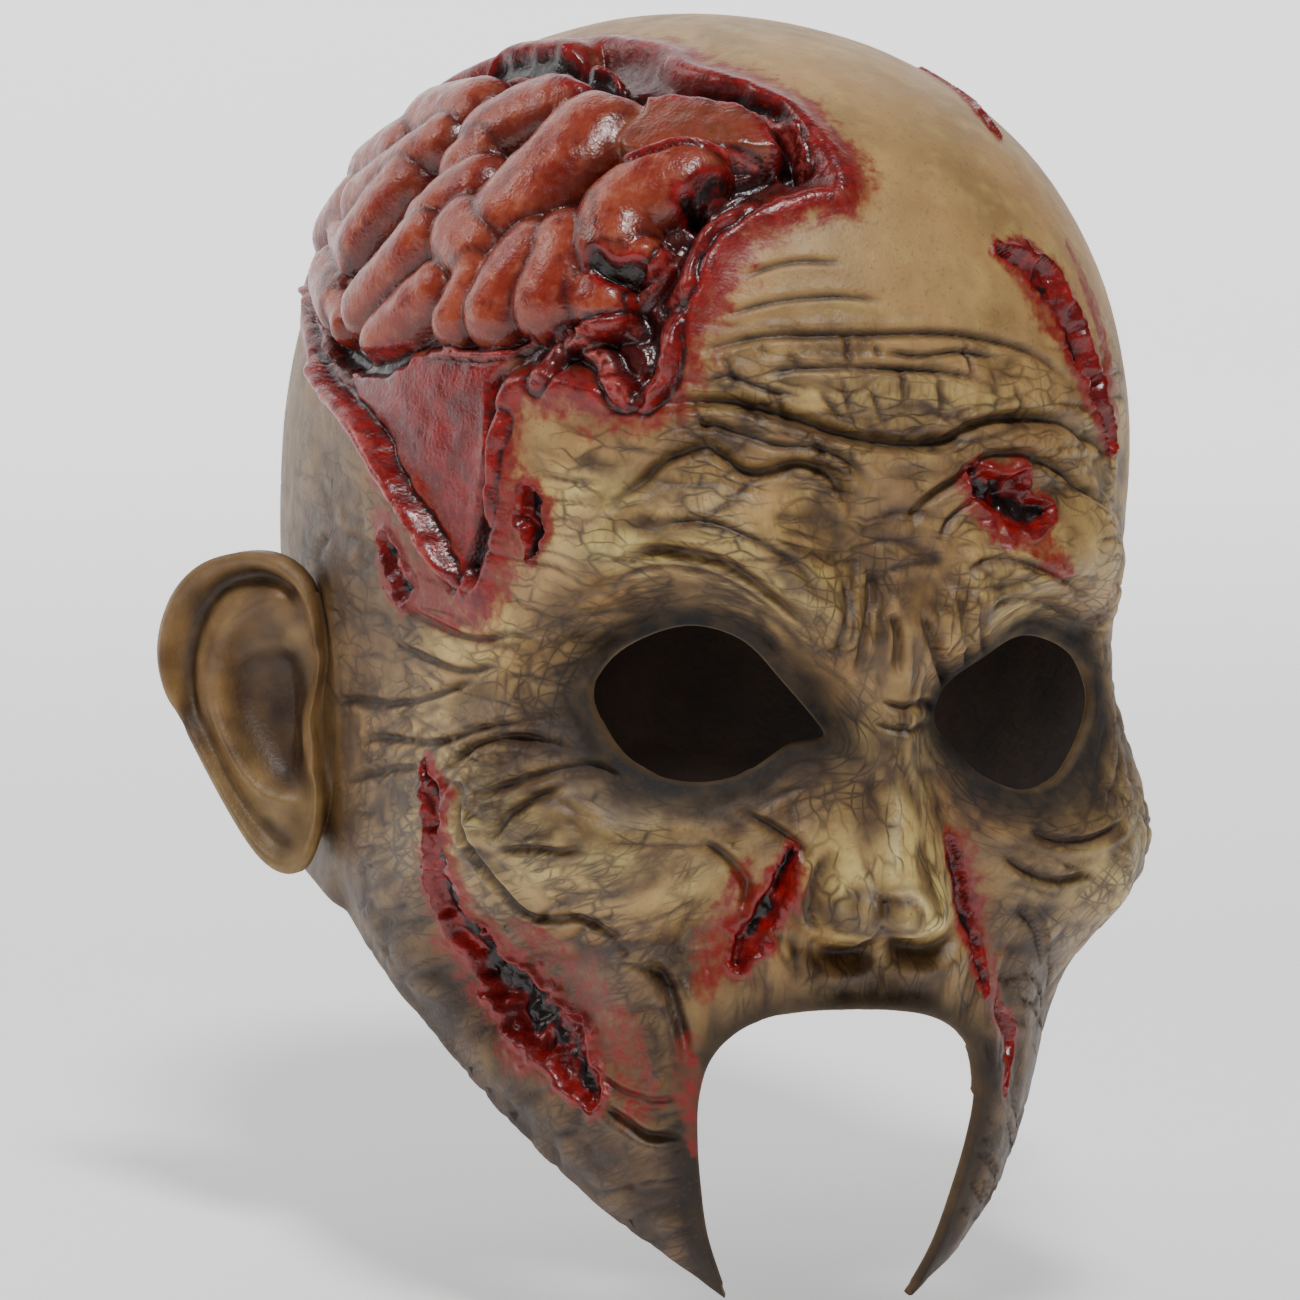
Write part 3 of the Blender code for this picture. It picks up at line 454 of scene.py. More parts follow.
# %% Mounds and dips
relief = np.zeros(TURN.shape)
depth_ahead = -((broad - eye) @ back)
seen_x = PICTURE / 2 + (broad - middle) @ right * DISTANCE / depth_ahead / MM * PIXELS_PER_MM
seen_y = PICTURE / 2 - (broad - middle) @ up * DISTANCE / depth_ahead / MM * PIXELS_PER_MM
facing = out_way @ back
SWELLS = [
    # rise, half width in mm, [pixels]: clay added over the broad forms, or taken away
    (2.6, 7.5, [(596, 548), (640, 528), (700, 528), (760, 552), (810, 594), (846, 650)]),
    (1.6, 4.0, [(830, 660), (850, 690)]),
    (1.8, 6.0, [(980, 600), (1010, 580), (1060, 585)]),
    (1.5, 4.5, [(968, 560), (966, 620), (972, 668)]),
    (2.0, 6.0, [(600, 486), (640, 462), (690, 440)]),
    (1.6, 6.0, [(760, 440), (880, 462), (980, 440), (1060, 440)]),
    (1.2, 6.0, [(720, 378), (880, 384), (1020, 386)]),
    (2.4, 9.0, [(480, 800), (540, 812), (600, 850), (640, 900)]),
    (2.0, 8.0, [(1090, 800), (1118, 850), (1110, 900)]),
    (2.2, 6.0, [(905, 730), (905, 800), (892, 850)]),
    (4.2, 5.6, [(842, 905), (849, 926)]),
    (4.0, 5.2, [(928, 902), (931, 922)]),
    (1.6, 7.0, [(888, 872), (888, 888)]),
    (-2.4, 6.0, [(862, 790), (838, 830), (806, 866)]),
    (-2.2, 4.5, [(950, 790), (962, 850), (972, 910)]),
    (-2.4, 11.0, [(470, 960), (540, 990), (600, 1040)]),
    (-2.2, 6.0, [(850, 965), (900, 968)]),
    (-1.8, 6.0, [(596, 640), (580, 700), (596, 760)]),
    (2.0, 9.0, [(660, 930), (640, 1000), (650, 1080)]),
]


def swell(spots, rise, half):
    part = window(spots, 2.6 * half * MM)
    away = line_distance(broad[part], spots)[0] / MM / half
    relief[part] += rise * np.exp(-(away**2)) * MM


for rise, half, pixels in SWELLS:
    swell(on_skin(smooth_line(pixels, 4)), rise, half)
print(len(SWELLS), "forms added")

# %% [markdown]
# ## Wrinkles
# A wrinkle in a cast skin isn't a scratch: it is a groove with a soft roll on each side. Each one is
# a line with a depth and a width, deepest in its middle and running out at its ends. The big folds
# are set one by one.

# %% Grooves
groove_dark = np.zeros(TURN.shape)


def groove(spots, depth, half, ends=0.35, roll_up=0.35, dark=1.0):
    """Presses one wrinkle into the skin. Depth and half width are in mm."""
    spots = np.asarray(spots, float)
    part = window(spots, 3.5 * half * MM)
    away, where = line_distance(broad[part], spots)
    away = away / MM / half
    along = where / max(len(spots) - 1, 1)
    taper = np.clip(np.minimum(along, 1 - along) / max(ends, 1e-3), 0, 1) ** 0.6 if ends else 1.0
    line = np.exp(-(away**2)) * taper
    sides = np.exp(-(((away - 2.0) / 0.9) ** 2)) * taper
    relief[part] += (depth * roll_up * sides - depth * line) * MM
    groove_dark[part] = np.maximum(groove_dark[part], dark * np.exp(-((away / 1.15) ** 2)) * taper)


FOLDS = [
    # depth, half width, [pixels]
    (1.5, 1.5, [(640, 416), (672, 404), (708, 401), (740, 403), (773, 412), (800, 420), (830, 431), (872, 442),
                (906, 445), (938, 442), (965, 428), (988, 419), (1010, 417), (1058, 422), (1095, 440), (1118, 459)]),
    (0.9, 1.1, [(700, 353), (735, 342), (766, 336), (820, 334), (872, 334), (938, 333), (992, 340), (1038, 356),
                (1081, 389)]),
    (0.8, 1.0, [(763, 374), (800, 369), (872, 368), (945, 373), (988, 383)]),
    (0.6, 0.9, [(700, 384), (730, 376), (763, 390), (800, 396)]),
    (0.7, 0.9, [(880, 352), (920, 356), (960, 352), (1005, 360)]),
    (0.5, 0.8, [(722, 316), (770, 302), (830, 296), (885, 300)]),
    (0.4, 0.8, [(742, 276), (790, 262), (842, 262)]),
    (1.3, 1.4, [(602, 512), (622, 498), (640, 485), (658, 468), (676, 456), (706, 446), (722, 455), (739, 469),
                (756, 473), (773, 469), (799, 462), (822, 470), (839, 485), (850, 505), (856, 525)]),
    (0.9, 1.1, [(676, 432), (712, 424), (748, 436), (782, 446), (815, 448), (848, 462), (872, 488)]),
    (1.4, 1.5, [(618, 570), (640, 552), (660, 548), (700, 552), (728, 562), (749, 575), (768, 590), (786, 605),
                (804, 622), (819, 641)]),
    (0.8, 1.0, [(600, 594), (628, 574), (660, 566), (700, 570), (735, 584), (765, 604), (790, 628)]),
    (0.8, 1.0, [(655, 528), (700, 520), (745, 535), (790, 560), (822, 598)]),
    (1.3, 1.3, [(912, 529), (918, 510), (932, 495), (945, 486), (958, 479), (972, 466), (988, 456), (1010, 453),
                (1031, 456), (1058, 468), (1081, 485), (1102, 500), (1118, 515)]),
    (0.7, 0.9, [(940, 540), (950, 520), (970, 502), (985, 486)]),
    (0.8, 1.0, [(960, 572), (985, 560), (1020, 562), (1058, 576), (1090, 596)]),
    (0.7, 0.9, [(985, 610), (1010, 598), (1045, 602), (1080, 618)]),
    (1.5, 1.2, [(892, 612), (898, 631), (899, 650), (898, 675)]),
    (1.4, 1.2, [(922, 610), (929, 631), (936, 652), (944, 676), (948, 700)]),
    (1.2, 1.0, [(955, 590), (960, 612), (964, 640), (968, 684)]),
    (0.9, 0.9, [(974, 608), (978, 625), (984, 648), (988, 671)]),
    (1.1, 1.0, [(868, 560), (872, 590), (866, 620), (858, 650), (852, 676)]),
    (0.9, 0.9, [(842, 575), (846, 605), (838, 638), (830, 662)]),
    (1.0, 1.0, [(880, 700), (900, 706), (925, 703), (940, 712)]),
    (0.8, 0.9, [(872, 722), (900, 728), (930, 724)]),
    (1.3, 1.2, [(447, 768), (462, 757), (475, 746), (492, 741), (515, 739), (540, 744), (566, 752)]),
    (1.2, 1.2, [(478, 799), (498, 790), (520, 782), (548, 773), (570, 770), (596, 771), (622, 780)]),
    (1.2, 1.2, [(489, 842), (505, 822), (522, 808), (537, 799), (552, 790), (565, 784)]),
    (0.9, 1.0, [(487, 855), (505, 849), (526, 847), (545, 847), (562, 849), (590, 846)]),
    (1.2, 1.4, [(459, 776), (460, 800), (461, 824), (466, 842), (475, 858), (486, 873), (501, 889), (515, 905),
                (532, 917), (552, 919), (576, 917), (598, 924), (618, 936), (633, 959)]),
    (0.9, 1.0, [(352, 742), (376, 738), (400, 740), (425, 744), (450, 740), (480, 730), (515, 724), (560, 716)]),
    (0.8, 1.0, [(330, 700), (360, 700), (392, 704), (420, 700), (450, 690), (480, 676)]),
    (0.8, 1.0, [(345, 780), (372, 772), (398, 768), (420, 768)]),
    (0.8, 1.0, [(395, 645), (420, 655), (448, 668), (470, 672), (500, 664)]),
    (0.8, 1.0, [(405, 610), (430, 622), (455, 634), (480, 640), (510, 636)]),
    (1.3, 1.3, [(602, 1108), (627, 1122), (649, 1136), (683, 1138)]),
    (0.8, 1.1, [(590, 1075), (620, 1092), (650, 1100), (684, 1098)]),
    (1.2, 1.6, [(650, 960), (668, 985), (680, 1020), (690, 1060)]),
    (1.0, 1.2, [(735, 810), (770, 826), (798, 845), (812, 862)]),
    (1.0, 1.2, [(700, 840), (728, 858), (748, 884), (742, 915)]),
    (1.8, 1.8, [(838, 852), (818, 884), (811, 912), (818, 936)]),
    (1.6, 1.6, [(886, 896), (887, 912), (886, 930)]),
    (1.7, 2.3, [(816, 936), (830, 954), (852, 958), (872, 948), (886, 930), (902, 946), (928, 953), (950, 942),
                (958, 920)]),
    (1.0, 1.1, [(1095, 680), (1085, 720), (1065, 752)]),
    (1.1, 1.2, [(1030, 830), (1060, 842), (1090, 838), (1118, 820)]),
    (0.9, 1.1, [(1000, 850), (1030, 872), (1062, 880), (1095, 870)]),
    (0.8, 1.0, [(1020, 900), (1040, 930), (1046, 965)]),
]
for depth, half, pixels in FOLDS:
    groove(on_skin(smooth_line(pixels, 4)), 1.5 * depth, 0.82 * half, ends=0.18)
print(len(FOLDS), "folds set by hand")

# %% [markdown]
# The fine wrinkles follow the way the skin is pulled: round the eyes, level across the forehead,
# upright between the brows and over the lip, slanting down the cheeks. They come from stretched noise. Where a smooth noise passes through zero it draws a
# thin wavering line, and noise stretched along one way draws lines that run that way together, as
# skin does. Each family has its own way, its own region and two sizes, and all of them fade out at
# the cut edges so that the scissors leave a clean line.

# %% Noise and soft steps
def soft_noise(points, size, seed):
    """Smooth random values from -1 to 1, with lumps of the given size in mm."""
    cells = np.random.default_rng(seed).uniform(-1, 1, (32, 32, 32))
    at = points / (size * MM)
    low = np.floor(at).astype(int)
    part = at - low
    part = part * part * (3 - 2 * part)
    low, high, other = low % 32, (low + 1) % 32, 1 - part
    value = 0
    for corner in range(8):
        a, b, c = ((high if corner >> k & 1 else low)[..., k] for k in range(3))
        x, y, z = ((part if corner >> k & 1 else other)[..., k] for k in range(3))
        value = value + x * y * z * cells[a, b, c]
    return value


def smooth_step(value, start, end):
    share = np.clip((value - start) / (end - start), 0, 1)
    return share * share * (3 - 2 * share)


print("noise repeats after 32 lumps")

# %% Where each family of wrinkles runs
eye_mm, mouth_mm, hole_mm = eye_away / MM, mouth_away / MM, hole / MM
side_turn = np.degrees(np.abs(TURN))
level_z = -broad[..., 2] / MM
level = np.interp(level_z, (0, EYE_DOWN / MM, MOUTH_TOP_DOWN / MM, HEAD_HEIGHT / MM), (0, 1, 2, 3))


def between_levels(top, bottom, soft=0.12):
    return smooth_step(level, top - soft, top + soft) * smooth_step(level, bottom + soft, bottom - soft)


ring_lines = smooth_step(eye_mm, 17, 8) * smooth_step(side_turn, 92, 80)
middle_strip = smooth_step(side_turn, 17, 8)
upright_lines = np.maximum.reduce([
    middle_strip * between_levels(0.72, 1.75) * smooth_step(eye_mm, 4, 9),
    smooth_step(side_turn, 36, 24) * between_levels(1.72, 2.3),
    0.45 * smooth_step(side_turn, 48, 36) * between_levels(0.42, 0.78),
])
slant_lines = smooth_step(side_turn, 14, 24) * smooth_step(side_turn, 100, 75) * between_levels(1.15, 2.9)
slant_lines = slant_lines * (1 - 0.6 * ring_lines)
level_lines = np.maximum.reduce([
    smooth_step(side_turn, 58, 46) * between_levels(0.42, 0.86),
    0.9 * smooth_step(side_turn, 30, 42) * smooth_step(side_turn, 112, 92) * between_levels(0.72, 1.5),
    0.45 * smooth_step(side_turn, 90, 120) * between_levels(0.75, 1.9, 0.25),
])
families = {"level": level_lines, "upright": upright_lines, "slant": slant_lines, "ring": ring_lines}
LONG = 4.2  # how many times longer than wide the cells between the lines are
side_sign = np.where(broad[..., 0] > 0, 1.0, -1.0)
sideways, front_back, rise_up = side_sign * broad[..., 0], broad[..., 1], broad[..., 2]
slanted = np.stack([0.29 * sideways + 0.35 * front_back + 0.9 * rise_up,
                    (0.58 * sideways + 0.69 * front_back - 0.45 * rise_up) / LONG,
                    (0.77 * sideways - 0.64 * front_back) / LONG], -1)
ways = {
    "level": broad * (1 / LONG, 1 / LONG, 1),
    "upright": broad * (1, 1 / LONG, 1 / LONG),
    "slant": slanted,
    "ring": np.stack([broad[..., 0] / LONG, eye_away, broad[..., 2] / LONG], -1),
}
print("families:", {name: round(float(part.mean()), 3) for name, part in families.items()})

# %% Press the fine wrinkles
FINE_LINES = [
    # size in mm, sharpness, depth in mm, how dark
    (5.2, 0.16, 0.62, 0.95),
    (3.4, 0.20, 0.38, 0.75),
    (4.3, 0.15, 0.50, 0.85),
]
fade = smooth_step(hole_mm, 0.2, 3.0) * smooth_step(root / MM, 0.2, 3.0)
warp = np.stack([soft_noise(broad, 13, 40 + k) for k in range(3)], -1) * 2.2 * MM
for number, (name, amount) in enumerate(families.items()):
    for k, (size, sharp, deep, dark) in enumerate(FINE_LINES):
        value = soft_noise(ways[name] + warp * (1 if name != "ring" else 0.5), size, 50 + 10 * number + k)
        come_and_go = smooth_step(soft_noise(broad, 10, 90 + 10 * number + k), -0.45, 0.25)
        line = np.exp(-((value / sharp) ** 2)) * amount * come_and_go * fade
        relief -= deep * line * MM
        groove_dark = np.maximum(groove_dark, dark * line)
relief *= smooth_step(hole_mm, 0.0, 2.6)
SCRATCHES = [
    # long thin nicks across the forehead's folds
    [(756, 343), (769, 356)], [(786, 353), (802, 369)], [(816, 386), (846, 426)], [(839, 373), (852, 419)],
    [(875, 343), (880, 359)], [(722, 352), (738, 388)], [(770, 386), (792, 428)], [(742, 400), (764, 426)],
    [(846, 330), (850, 372)], [(900, 366), (904, 410)], [(690, 402), (712, 436)], [(806, 428), (826, 462)],
    [(936, 372), (942, 420)], [(964, 340), (972, 384)], [(1010, 382), (1022, 424)], [(868, 384), (888, 432)],
]
for pixels in SCRATCHES:
    groove(on_skin(smooth_line(pixels, 4)), 0.8, 0.7, ends=0.3)
print(len(FINE_LINES) * len(families), "layers of fine wrinkles and", len(SCRATCHES), "nicks")

# %% [markdown]
# ## The torn scalp
# The largest wound lays the brain bare. Its edge is a rolled lip of skin, a gap runs inside it, and
# the lobes rise out of the gap like packed sausages. Each lobe is a thick line with a round top, and
# the highest one wins at each place, which leaves the tight grooves between them by itself. It is
# worked out on a flat map of the scalp, with distances measured round the head from its middle.

# %% The wound's map
MAP_AXIS = np.array([-0.80, -0.25, 0.55]) / np.linalg.norm([-0.80, -0.25, 0.55])
MAP_RIGHT = np.cross((0, 0, 1), MAP_AXIS) / np.linalg.norm(np.cross((0, 0, 1), MAP_AXIS))
MAP_UP = np.cross(MAP_AXIS, MAP_RIGHT)
MAP_CENTRE, MAP_RADIUS = np.array([0, 0, -0.35 * HEAD_HEIGHT]), 0.41 * HEAD_LENGTH


def wound_map(points):
    away = points - MAP_CENTRE
    away = away / np.linalg.norm(away, axis=-1, keepdims=True)
    angle = np.arccos(np.clip(away @ MAP_AXIS, -1, 1))
    flat = np.stack([away @ MAP_RIGHT, away @ MAP_UP], -1)
    return flat / np.maximum(np.linalg.norm(flat, axis=-1, keepdims=True), 1e-9) * (angle * MAP_RADIUS)[..., None]


WOUND_OUTLINE = [
    # turn, level
    (-62, 0.049), (-46, 0.065), (-30, 0.081), (-18, 0.106), (-11, 0.154), (-9, 0.211), (-19, 0.236),
    (-27, 0.276), (-30, 0.333), (-32, 0.407), (-33, 0.48), (-36, 0.537), (-47, 0.537), (-56, 0.545),
    (-58, 0.618), (-57, 0.732), (-58, 0.829), (-61, 0.886), (-66, 0.846), (-74, 0.756), (-84, 0.667),
    (-95, 0.61), (-108, 0.553), (-120, 0.472), (-126, 0.358), (-122, 0.228), (-108, 0.114), (-88, 0.057),
]
flat = wound_map(broad)
ragged = soft_noise(broad, 7, 1) * 0.9 + soft_noise(broad, 2.4, 2) * 0.45
edge = flat_distance(flat, wound_map(on_head(smooth_line(WOUND_OUTLINE, 4, True))), True) / MM + ragged
inner = 1 / (1 + np.exp((edge + 2.6) / 0.8))
print("wound covers", int((edge < 0).sum() * (FINEST / MM) ** 2), "square mm")

# %% Brain lobes
LOBE_HEIGHT = 7.9
LOBES = [
    # rise, half width in mm, [pixels]
    (1.05, 8.6, [(512, 206), (540, 178), (572, 146), (588, 128)]),
    (0.95, 7.2, [(490, 130), (530, 108), (574, 92)]),
    (0.80, 5.6, [(462, 160), (482, 146)]),
    (0.98, 6.4, [(366, 198), (400, 172), (444, 140)]),
    (0.95, 6.2, [(430, 218), (452, 198), (474, 184)]),
    (1.05, 7.4, [(464, 232), (480, 246)]),
    (1.02, 6.6, [(368, 304), (400, 268), (430, 232)]),
    (0.92, 6.0, [(384, 338), (408, 312), (434, 290)]),
    (0.85, 5.2, [(454, 318), (466, 296), (480, 270)]),
    (0.98, 6.6, [(494, 308), (512, 276), (532, 252)]),
    (0.96, 7.0, [(546, 296), (556, 270), (562, 246)]),
    (1.05, 7.0, [(610, 243), (614, 222), (630, 200), (680, 174)]),
    (0.85, 3.6, [(598, 216), (606, 246), (622, 262), (644, 256)]),
    (0.75, 4.2, [(342, 230), (352, 260)]),
    (0.75, 4.2, [(336, 288), (346, 324)]),
    (0.70, 5.0, [(592, 294), (600, 306)]),
]
HIDDEN_LOBES = [
    # rise, half width in mm, [(turn, level), ...]
    (0.95, 7.0, [(-96, 0.10), (-84, 0.085)]),
    (1.0, 7.6, [(-104, 0.20), (-92, 0.17)]),
    (1.0, 7.4, [(-113, 0.30), (-104, 0.25)]),
    (0.95, 7.0, [(-116, 0.41), (-110, 0.35)]),
    (0.85, 6.4, [(-106, 0.47), (-98, 0.50)]),
    (0.95, 7.4, [(-98, 0.40), (-94, 0.29)]),
]
best, second = np.full(TURN.shape, 9.0), np.full(TURN.shape, 9.0)
dome = np.zeros(TURN.shape)
near_wound = edge < 6
lobe_lines = [(rise, half, on_skin(smooth_line(pixels, 3))) for rise, half, pixels in LOBES]
lobe_lines += [(rise, half, on_head(smooth_line(spots, 3))) for rise, half, spots in HIDDEN_LOBES]
for rise, half, line in lobe_lines:
    reach = flat_distance(flat[near_wound], wound_map(line), False) / MM / (half * 1.22)
    here = rise * np.sqrt(np.clip(1 - reach**2, 0, 1))
    dome[near_wound] = np.maximum(dome[near_wound], here)
    swap = reach < best[near_wound]
    second[near_wound] = np.where(swap, best[near_wound], np.minimum(second[near_wound], reach))
    best[near_wound] = np.where(swap, reach, best[near_wound])
between = np.exp(-(((second - best) / 0.16) ** 2)) * (best < 1.3)

MEMBRANE = [(628, 158), (620, 140), (640, 118), (650, 98), (701, 96), (751, 106), (784, 138), (786, 156), (731, 156),
            (693, 152)]
MUSCLE = [(350, 366), (425, 346), (512, 350), (494, 386), (488, 459), (480, 530), (462, 578), (441, 548), (404, 480),
          (366, 416)]


def patch(pixels):
    line = wound_map(on_skin(smooth_line(pixels, 4, True)))
    return np.where(near_wound, flat_distance(flat, line, True) / MM, 50.0)


membrane, muscle = patch(MEMBRANE), patch(MUSCLE)
flap = smooth_step(membrane, 1.2, -1.5)
meat = smooth_step(muscle, 1.0, -2.0)
smooth_part = np.maximum(flap, meat)
dome = (dome * (1 - smooth_part) + flap * (0.62 + 0.05 * soft_noise(broad, 9, 3))
        + meat * (0.30 + 0.10 * soft_noise(broad, 11, 4)))
between = between * (1 - smooth_part)
wound_rise = 1.9 * np.exp(-((edge / 3.0) ** 2)) + inner * (LOBE_HEIGHT * dome - 3.0)
wound_rise += inner * (0.22 * soft_noise(broad, 3.2, 5) + 0.10 * soft_noise(broad, 1.3, 6))
relief = relief * (1 - inner) + wound_rise * MM
print(len(lobe_lines), "lobes, a membrane and a muscle")

# %% [markdown]
# Torn skin curls into ropes, and blood clots lie in the deepest gaps. A rope is a raised round line
# and a gap a sunken one, each set where the photograph shows it.

# %% Ropes and gaps
blood = np.zeros(TURN.shape)
clot = np.zeros(TURN.shape)
pale_lip = np.zeros(TURN.shape)


def rope(pixels, rise, half, pale=0.5, bumps=0.25):
    spots = on_skin(smooth_line(pixels, 4))
    part = window(spots, 3 * half * MM)
    away, where = line_distance(broad[part], spots)
    along = np.minimum(where, len(spots) - 1 - where) / 2.5
    reach = away / MM / half + bumps * soft_noise(broad[part], 3, 7)
    body = np.sqrt(np.clip(1 - reach**2, 0, 1)) * np.clip(along, 0, 1) ** 0.5
    relief[part] += (rise * body - 0.35 * rise * np.exp(-(((reach - 1.25) / 0.3) ** 2))) * MM
    blood[part] = np.maximum(blood[part], smooth_step(reach, 1.9, 1.2))
    clot[part] = np.maximum(clot[part] * (1 - body), 0.8 * np.exp(-(((reach - 1.25) / 0.28) ** 2)))
    pale_lip[part] = np.maximum(pale_lip[part], pale * smooth_step(reach, 0.75, 0.1))


def gap_line(pixels, depth, half, dark=1.0):
    spots = on_skin(smooth_line(pixels, 4))
    part = window(spots, 3 * half * MM)
    reach = line_distance(broad[part], spots)[0] / MM / half + 0.35 * soft_noise(broad[part], 3.5, 8)
    pit = smooth_step(reach, 1.25, 0.35)
    relief[part] -= depth * pit * MM
    clot[part] = np.maximum(clot[part], dark * pit)
    blood[part] = np.maximum(blood[part], smooth_step(reach, 2.2, 1.2))


gap_line([(500, 80), (517, 76), (545, 73), (571, 74), (600, 84), (626, 92), (664, 91), (701, 93), (738, 99),
          (764, 110), (784, 130), (796, 164)], 3.2, 3.0)
gap_line([(572, 80), (600, 88), (630, 98)], 2.0, 3.2)
gap_line([(689, 216), (704, 196), (722, 184), (748, 176), (768, 168)], 2.2, 1.6, 0.8)
gap_line([(686, 206), (694, 220)], 2.0, 1.7)
gap_line([(602, 268), (618, 276), (640, 274)], 2.4, 1.8)
gap_line([(322, 176), (334, 160), (352, 140), (384, 120)], 1.8, 2.6, 0.8)
gap_line([(318, 205), (316, 222), (318, 240)], 2.0, 2.8, 0.8)
gap_line([(330, 348), (352, 364), (380, 368), (402, 356)], 1.8, 1.8, 0.9)
gap_line([(494, 384), (490, 430), (488, 470), (482, 520), (468, 566)], 1.8, 1.9, 0.8)
gap_line([(640, 318), (650, 340), (652, 372), (640, 392)], 1.6, 2.6, 0.7)
rope([(318, 366), (330, 384), (341, 398), (356, 414), (372, 432), (384, 454), (395, 478), (410, 502), (425, 524),
      (440, 550), (455, 578)], 3.2, 2.1, 0.9)
rope([(307, 262), (312, 286), (315, 308), (322, 334), (328, 356)], 1.8, 1.2, 0.7)
rope([(618, 165), (640, 167), (664, 160), (693, 154), (722, 157), (755, 160)], 1.3, 1.1, 1.0)
rope([(571, 339), (586, 346), (600, 358), (612, 378), (628, 398)], 2.6, 2.4, 1.0)
rope([(540, 380), (548, 358), (562, 342), (590, 332), (630, 326)], 2.2, 2.2, 0.5)
rope([(646, 400), (662, 378), (668, 350), (672, 320)], 2.0, 2.4, 0.5)
rope([(425, 350), (452, 352), (480, 354), (508, 350), (530, 340)], 1.2, 1.0, 0.9)
rope([(762, 108), (784, 122), (798, 142), (806, 164)], 1.4, 1.3, 0.9)
rope([(672, 300), (684, 280), (690, 256), (704, 236), (728, 214), (748, 200)], 1.8, 2.2, 0.6)
rope([(505, 420), (498, 452), (494, 486), (490, 520)], 1.5, 1.6, 0.3)
rope([(636, 296), (660, 272), (676, 250)], 1.6, 2.0, 0.6)
print("ropes and gaps set")

# %% [markdown]
# ## Small wounds
# Each smaller wound is a ragged pit along a line whose half width changes, with a swollen rim round
# it, fresh blood in and around it and a dark clot in its floor.

# %% Small wounds
WOUNDS = [
    # depth, rim, [(x, y, half width), ...] in pixels
    (2.4, 1.0, [(1000, 252, 7), (1022, 262, 14), (1045, 284, 20), (1066, 318, 19), (1084, 356, 18), (1100, 398, 14),
                (1114, 440, 8)]),
    (2.6, 1.2, [(982, 486, 13), (1006, 500, 22), (1030, 512, 17), (1046, 510, 9)]),
    (2.4, 1.1, [(526, 492, 9), (532, 512, 15), (535, 536, 11), (530, 556, 6)]),
    (1.4, 0.6, [(384, 540, 9), (392, 566, 14), (404, 592, 11)]),
    (2.6, 1.3, [(428, 768, 9), (432, 800, 17), (436, 840, 14), (440, 880, 17), (452, 920, 19), (474, 952, 19),
                (502, 984, 21), (528, 1012, 24), (552, 1040, 26), (566, 1066, 20), (586, 1092, 12)]),
    (2.6, 1.2, [(792, 858, 8), (788, 880, 13), (776, 900, 13), (762, 920, 14), (748, 942, 13), (738, 964, 8)]),
    (1.4, 0.8, [(952, 846, 8), (960, 878, 11), (968, 914, 13), (978, 950, 12), (986, 984, 8)]),
    (1.4, 0.7, [(936, 72, 4), (966, 98, 7), (996, 134, 5)]),
    (1.2, 0.6, [(1000, 1010, 5), (1010, 1040, 9), (1006, 1080, 8)]),
]
rim_red = np.zeros(TURN.shape)
for depth, rim, rows in WOUNDS:
    line = smooth_line(rows, 4)
    spots = on_skin(line[:, :2])
    half = line[:, 2] / PIXELS_PER_MM
    part = window(spots, 3.2 * half.max() * MM)
    away, where = line_distance(broad[part], spots)
    local = np.interp(where, np.arange(len(half)), half)
    reach = away / MM / local + 0.55 * soft_noise(broad[part], 5, 9) + 0.42 * soft_noise(broad[part], 2.0, 10)
    pit = smooth_step(reach, 1.08, 0.55)
    floor = 0.9 * soft_noise(broad[part], 2.6, 11) + 0.35 * soft_noise(broad[part], 1.2, 12)
    relief[part] += (-depth * pit + pit * floor + rim * np.exp(-(((reach - 1.25) / 0.25) ** 2))) * MM
    blood[part] = np.maximum(blood[part], smooth_step(reach, 1.7, 1.05))
    rim_red[part] = np.maximum(rim_red[part], smooth_step(reach, 2.5, 1.3))
    clot[part] = np.maximum(clot[part], smooth_step(reach + 0.5 * soft_noise(broad[part], 3.0, 13), 0.65, 0.05))
SMEARS = [
    # strength, [(x, y, half width), ...] in pixels: thin blood with no pit under it
    (0.75, [(1016, 520, 16), (1040, 548, 15), (1062, 574, 10)]),
    (0.8, [(1070, 250, 10), (1092, 300, 14), (1108, 360, 14), (1118, 420, 12)]),
    (0.7, [(700, 262, 14), (690, 300, 18), (676, 350, 20), (660, 400, 16)]),
    (0.8, [(596, 404, 14), (630, 418, 12), (660, 412, 10)]),
    (0.7, [(520, 400, 14), (506, 440, 12), (500, 500, 12), (484, 566, 10)]),
    (0.85, [(380, 520, 16), (400, 566, 24), (430, 600, 22), (452, 620, 12)]),
    (0.9, [(800, 110, 18), (822, 150, 16), (826, 178, 10)]),
    (0.8, [(560, 40, 16), (620, 56, 12), (700, 68, 12), (760, 82, 12)]),
    (0.6, [(930, 76, 10), (966, 100, 14), (1000, 140, 10)]),
    (0.6, [(742, 872, 12), (728, 910, 18), (712, 950, 16), (708, 990, 12)]),
    (0.7, [(960, 850, 14), (972, 910, 18), (990, 970, 18), (1000, 1020, 14)]),
    (0.45, [(520, 930, 20), (580, 980, 26), (620, 1050, 26), (640, 1100, 20)]),
    (0.5, [(690, 1040, 10), (690, 1090, 12), (700, 1150, 10)]),
]
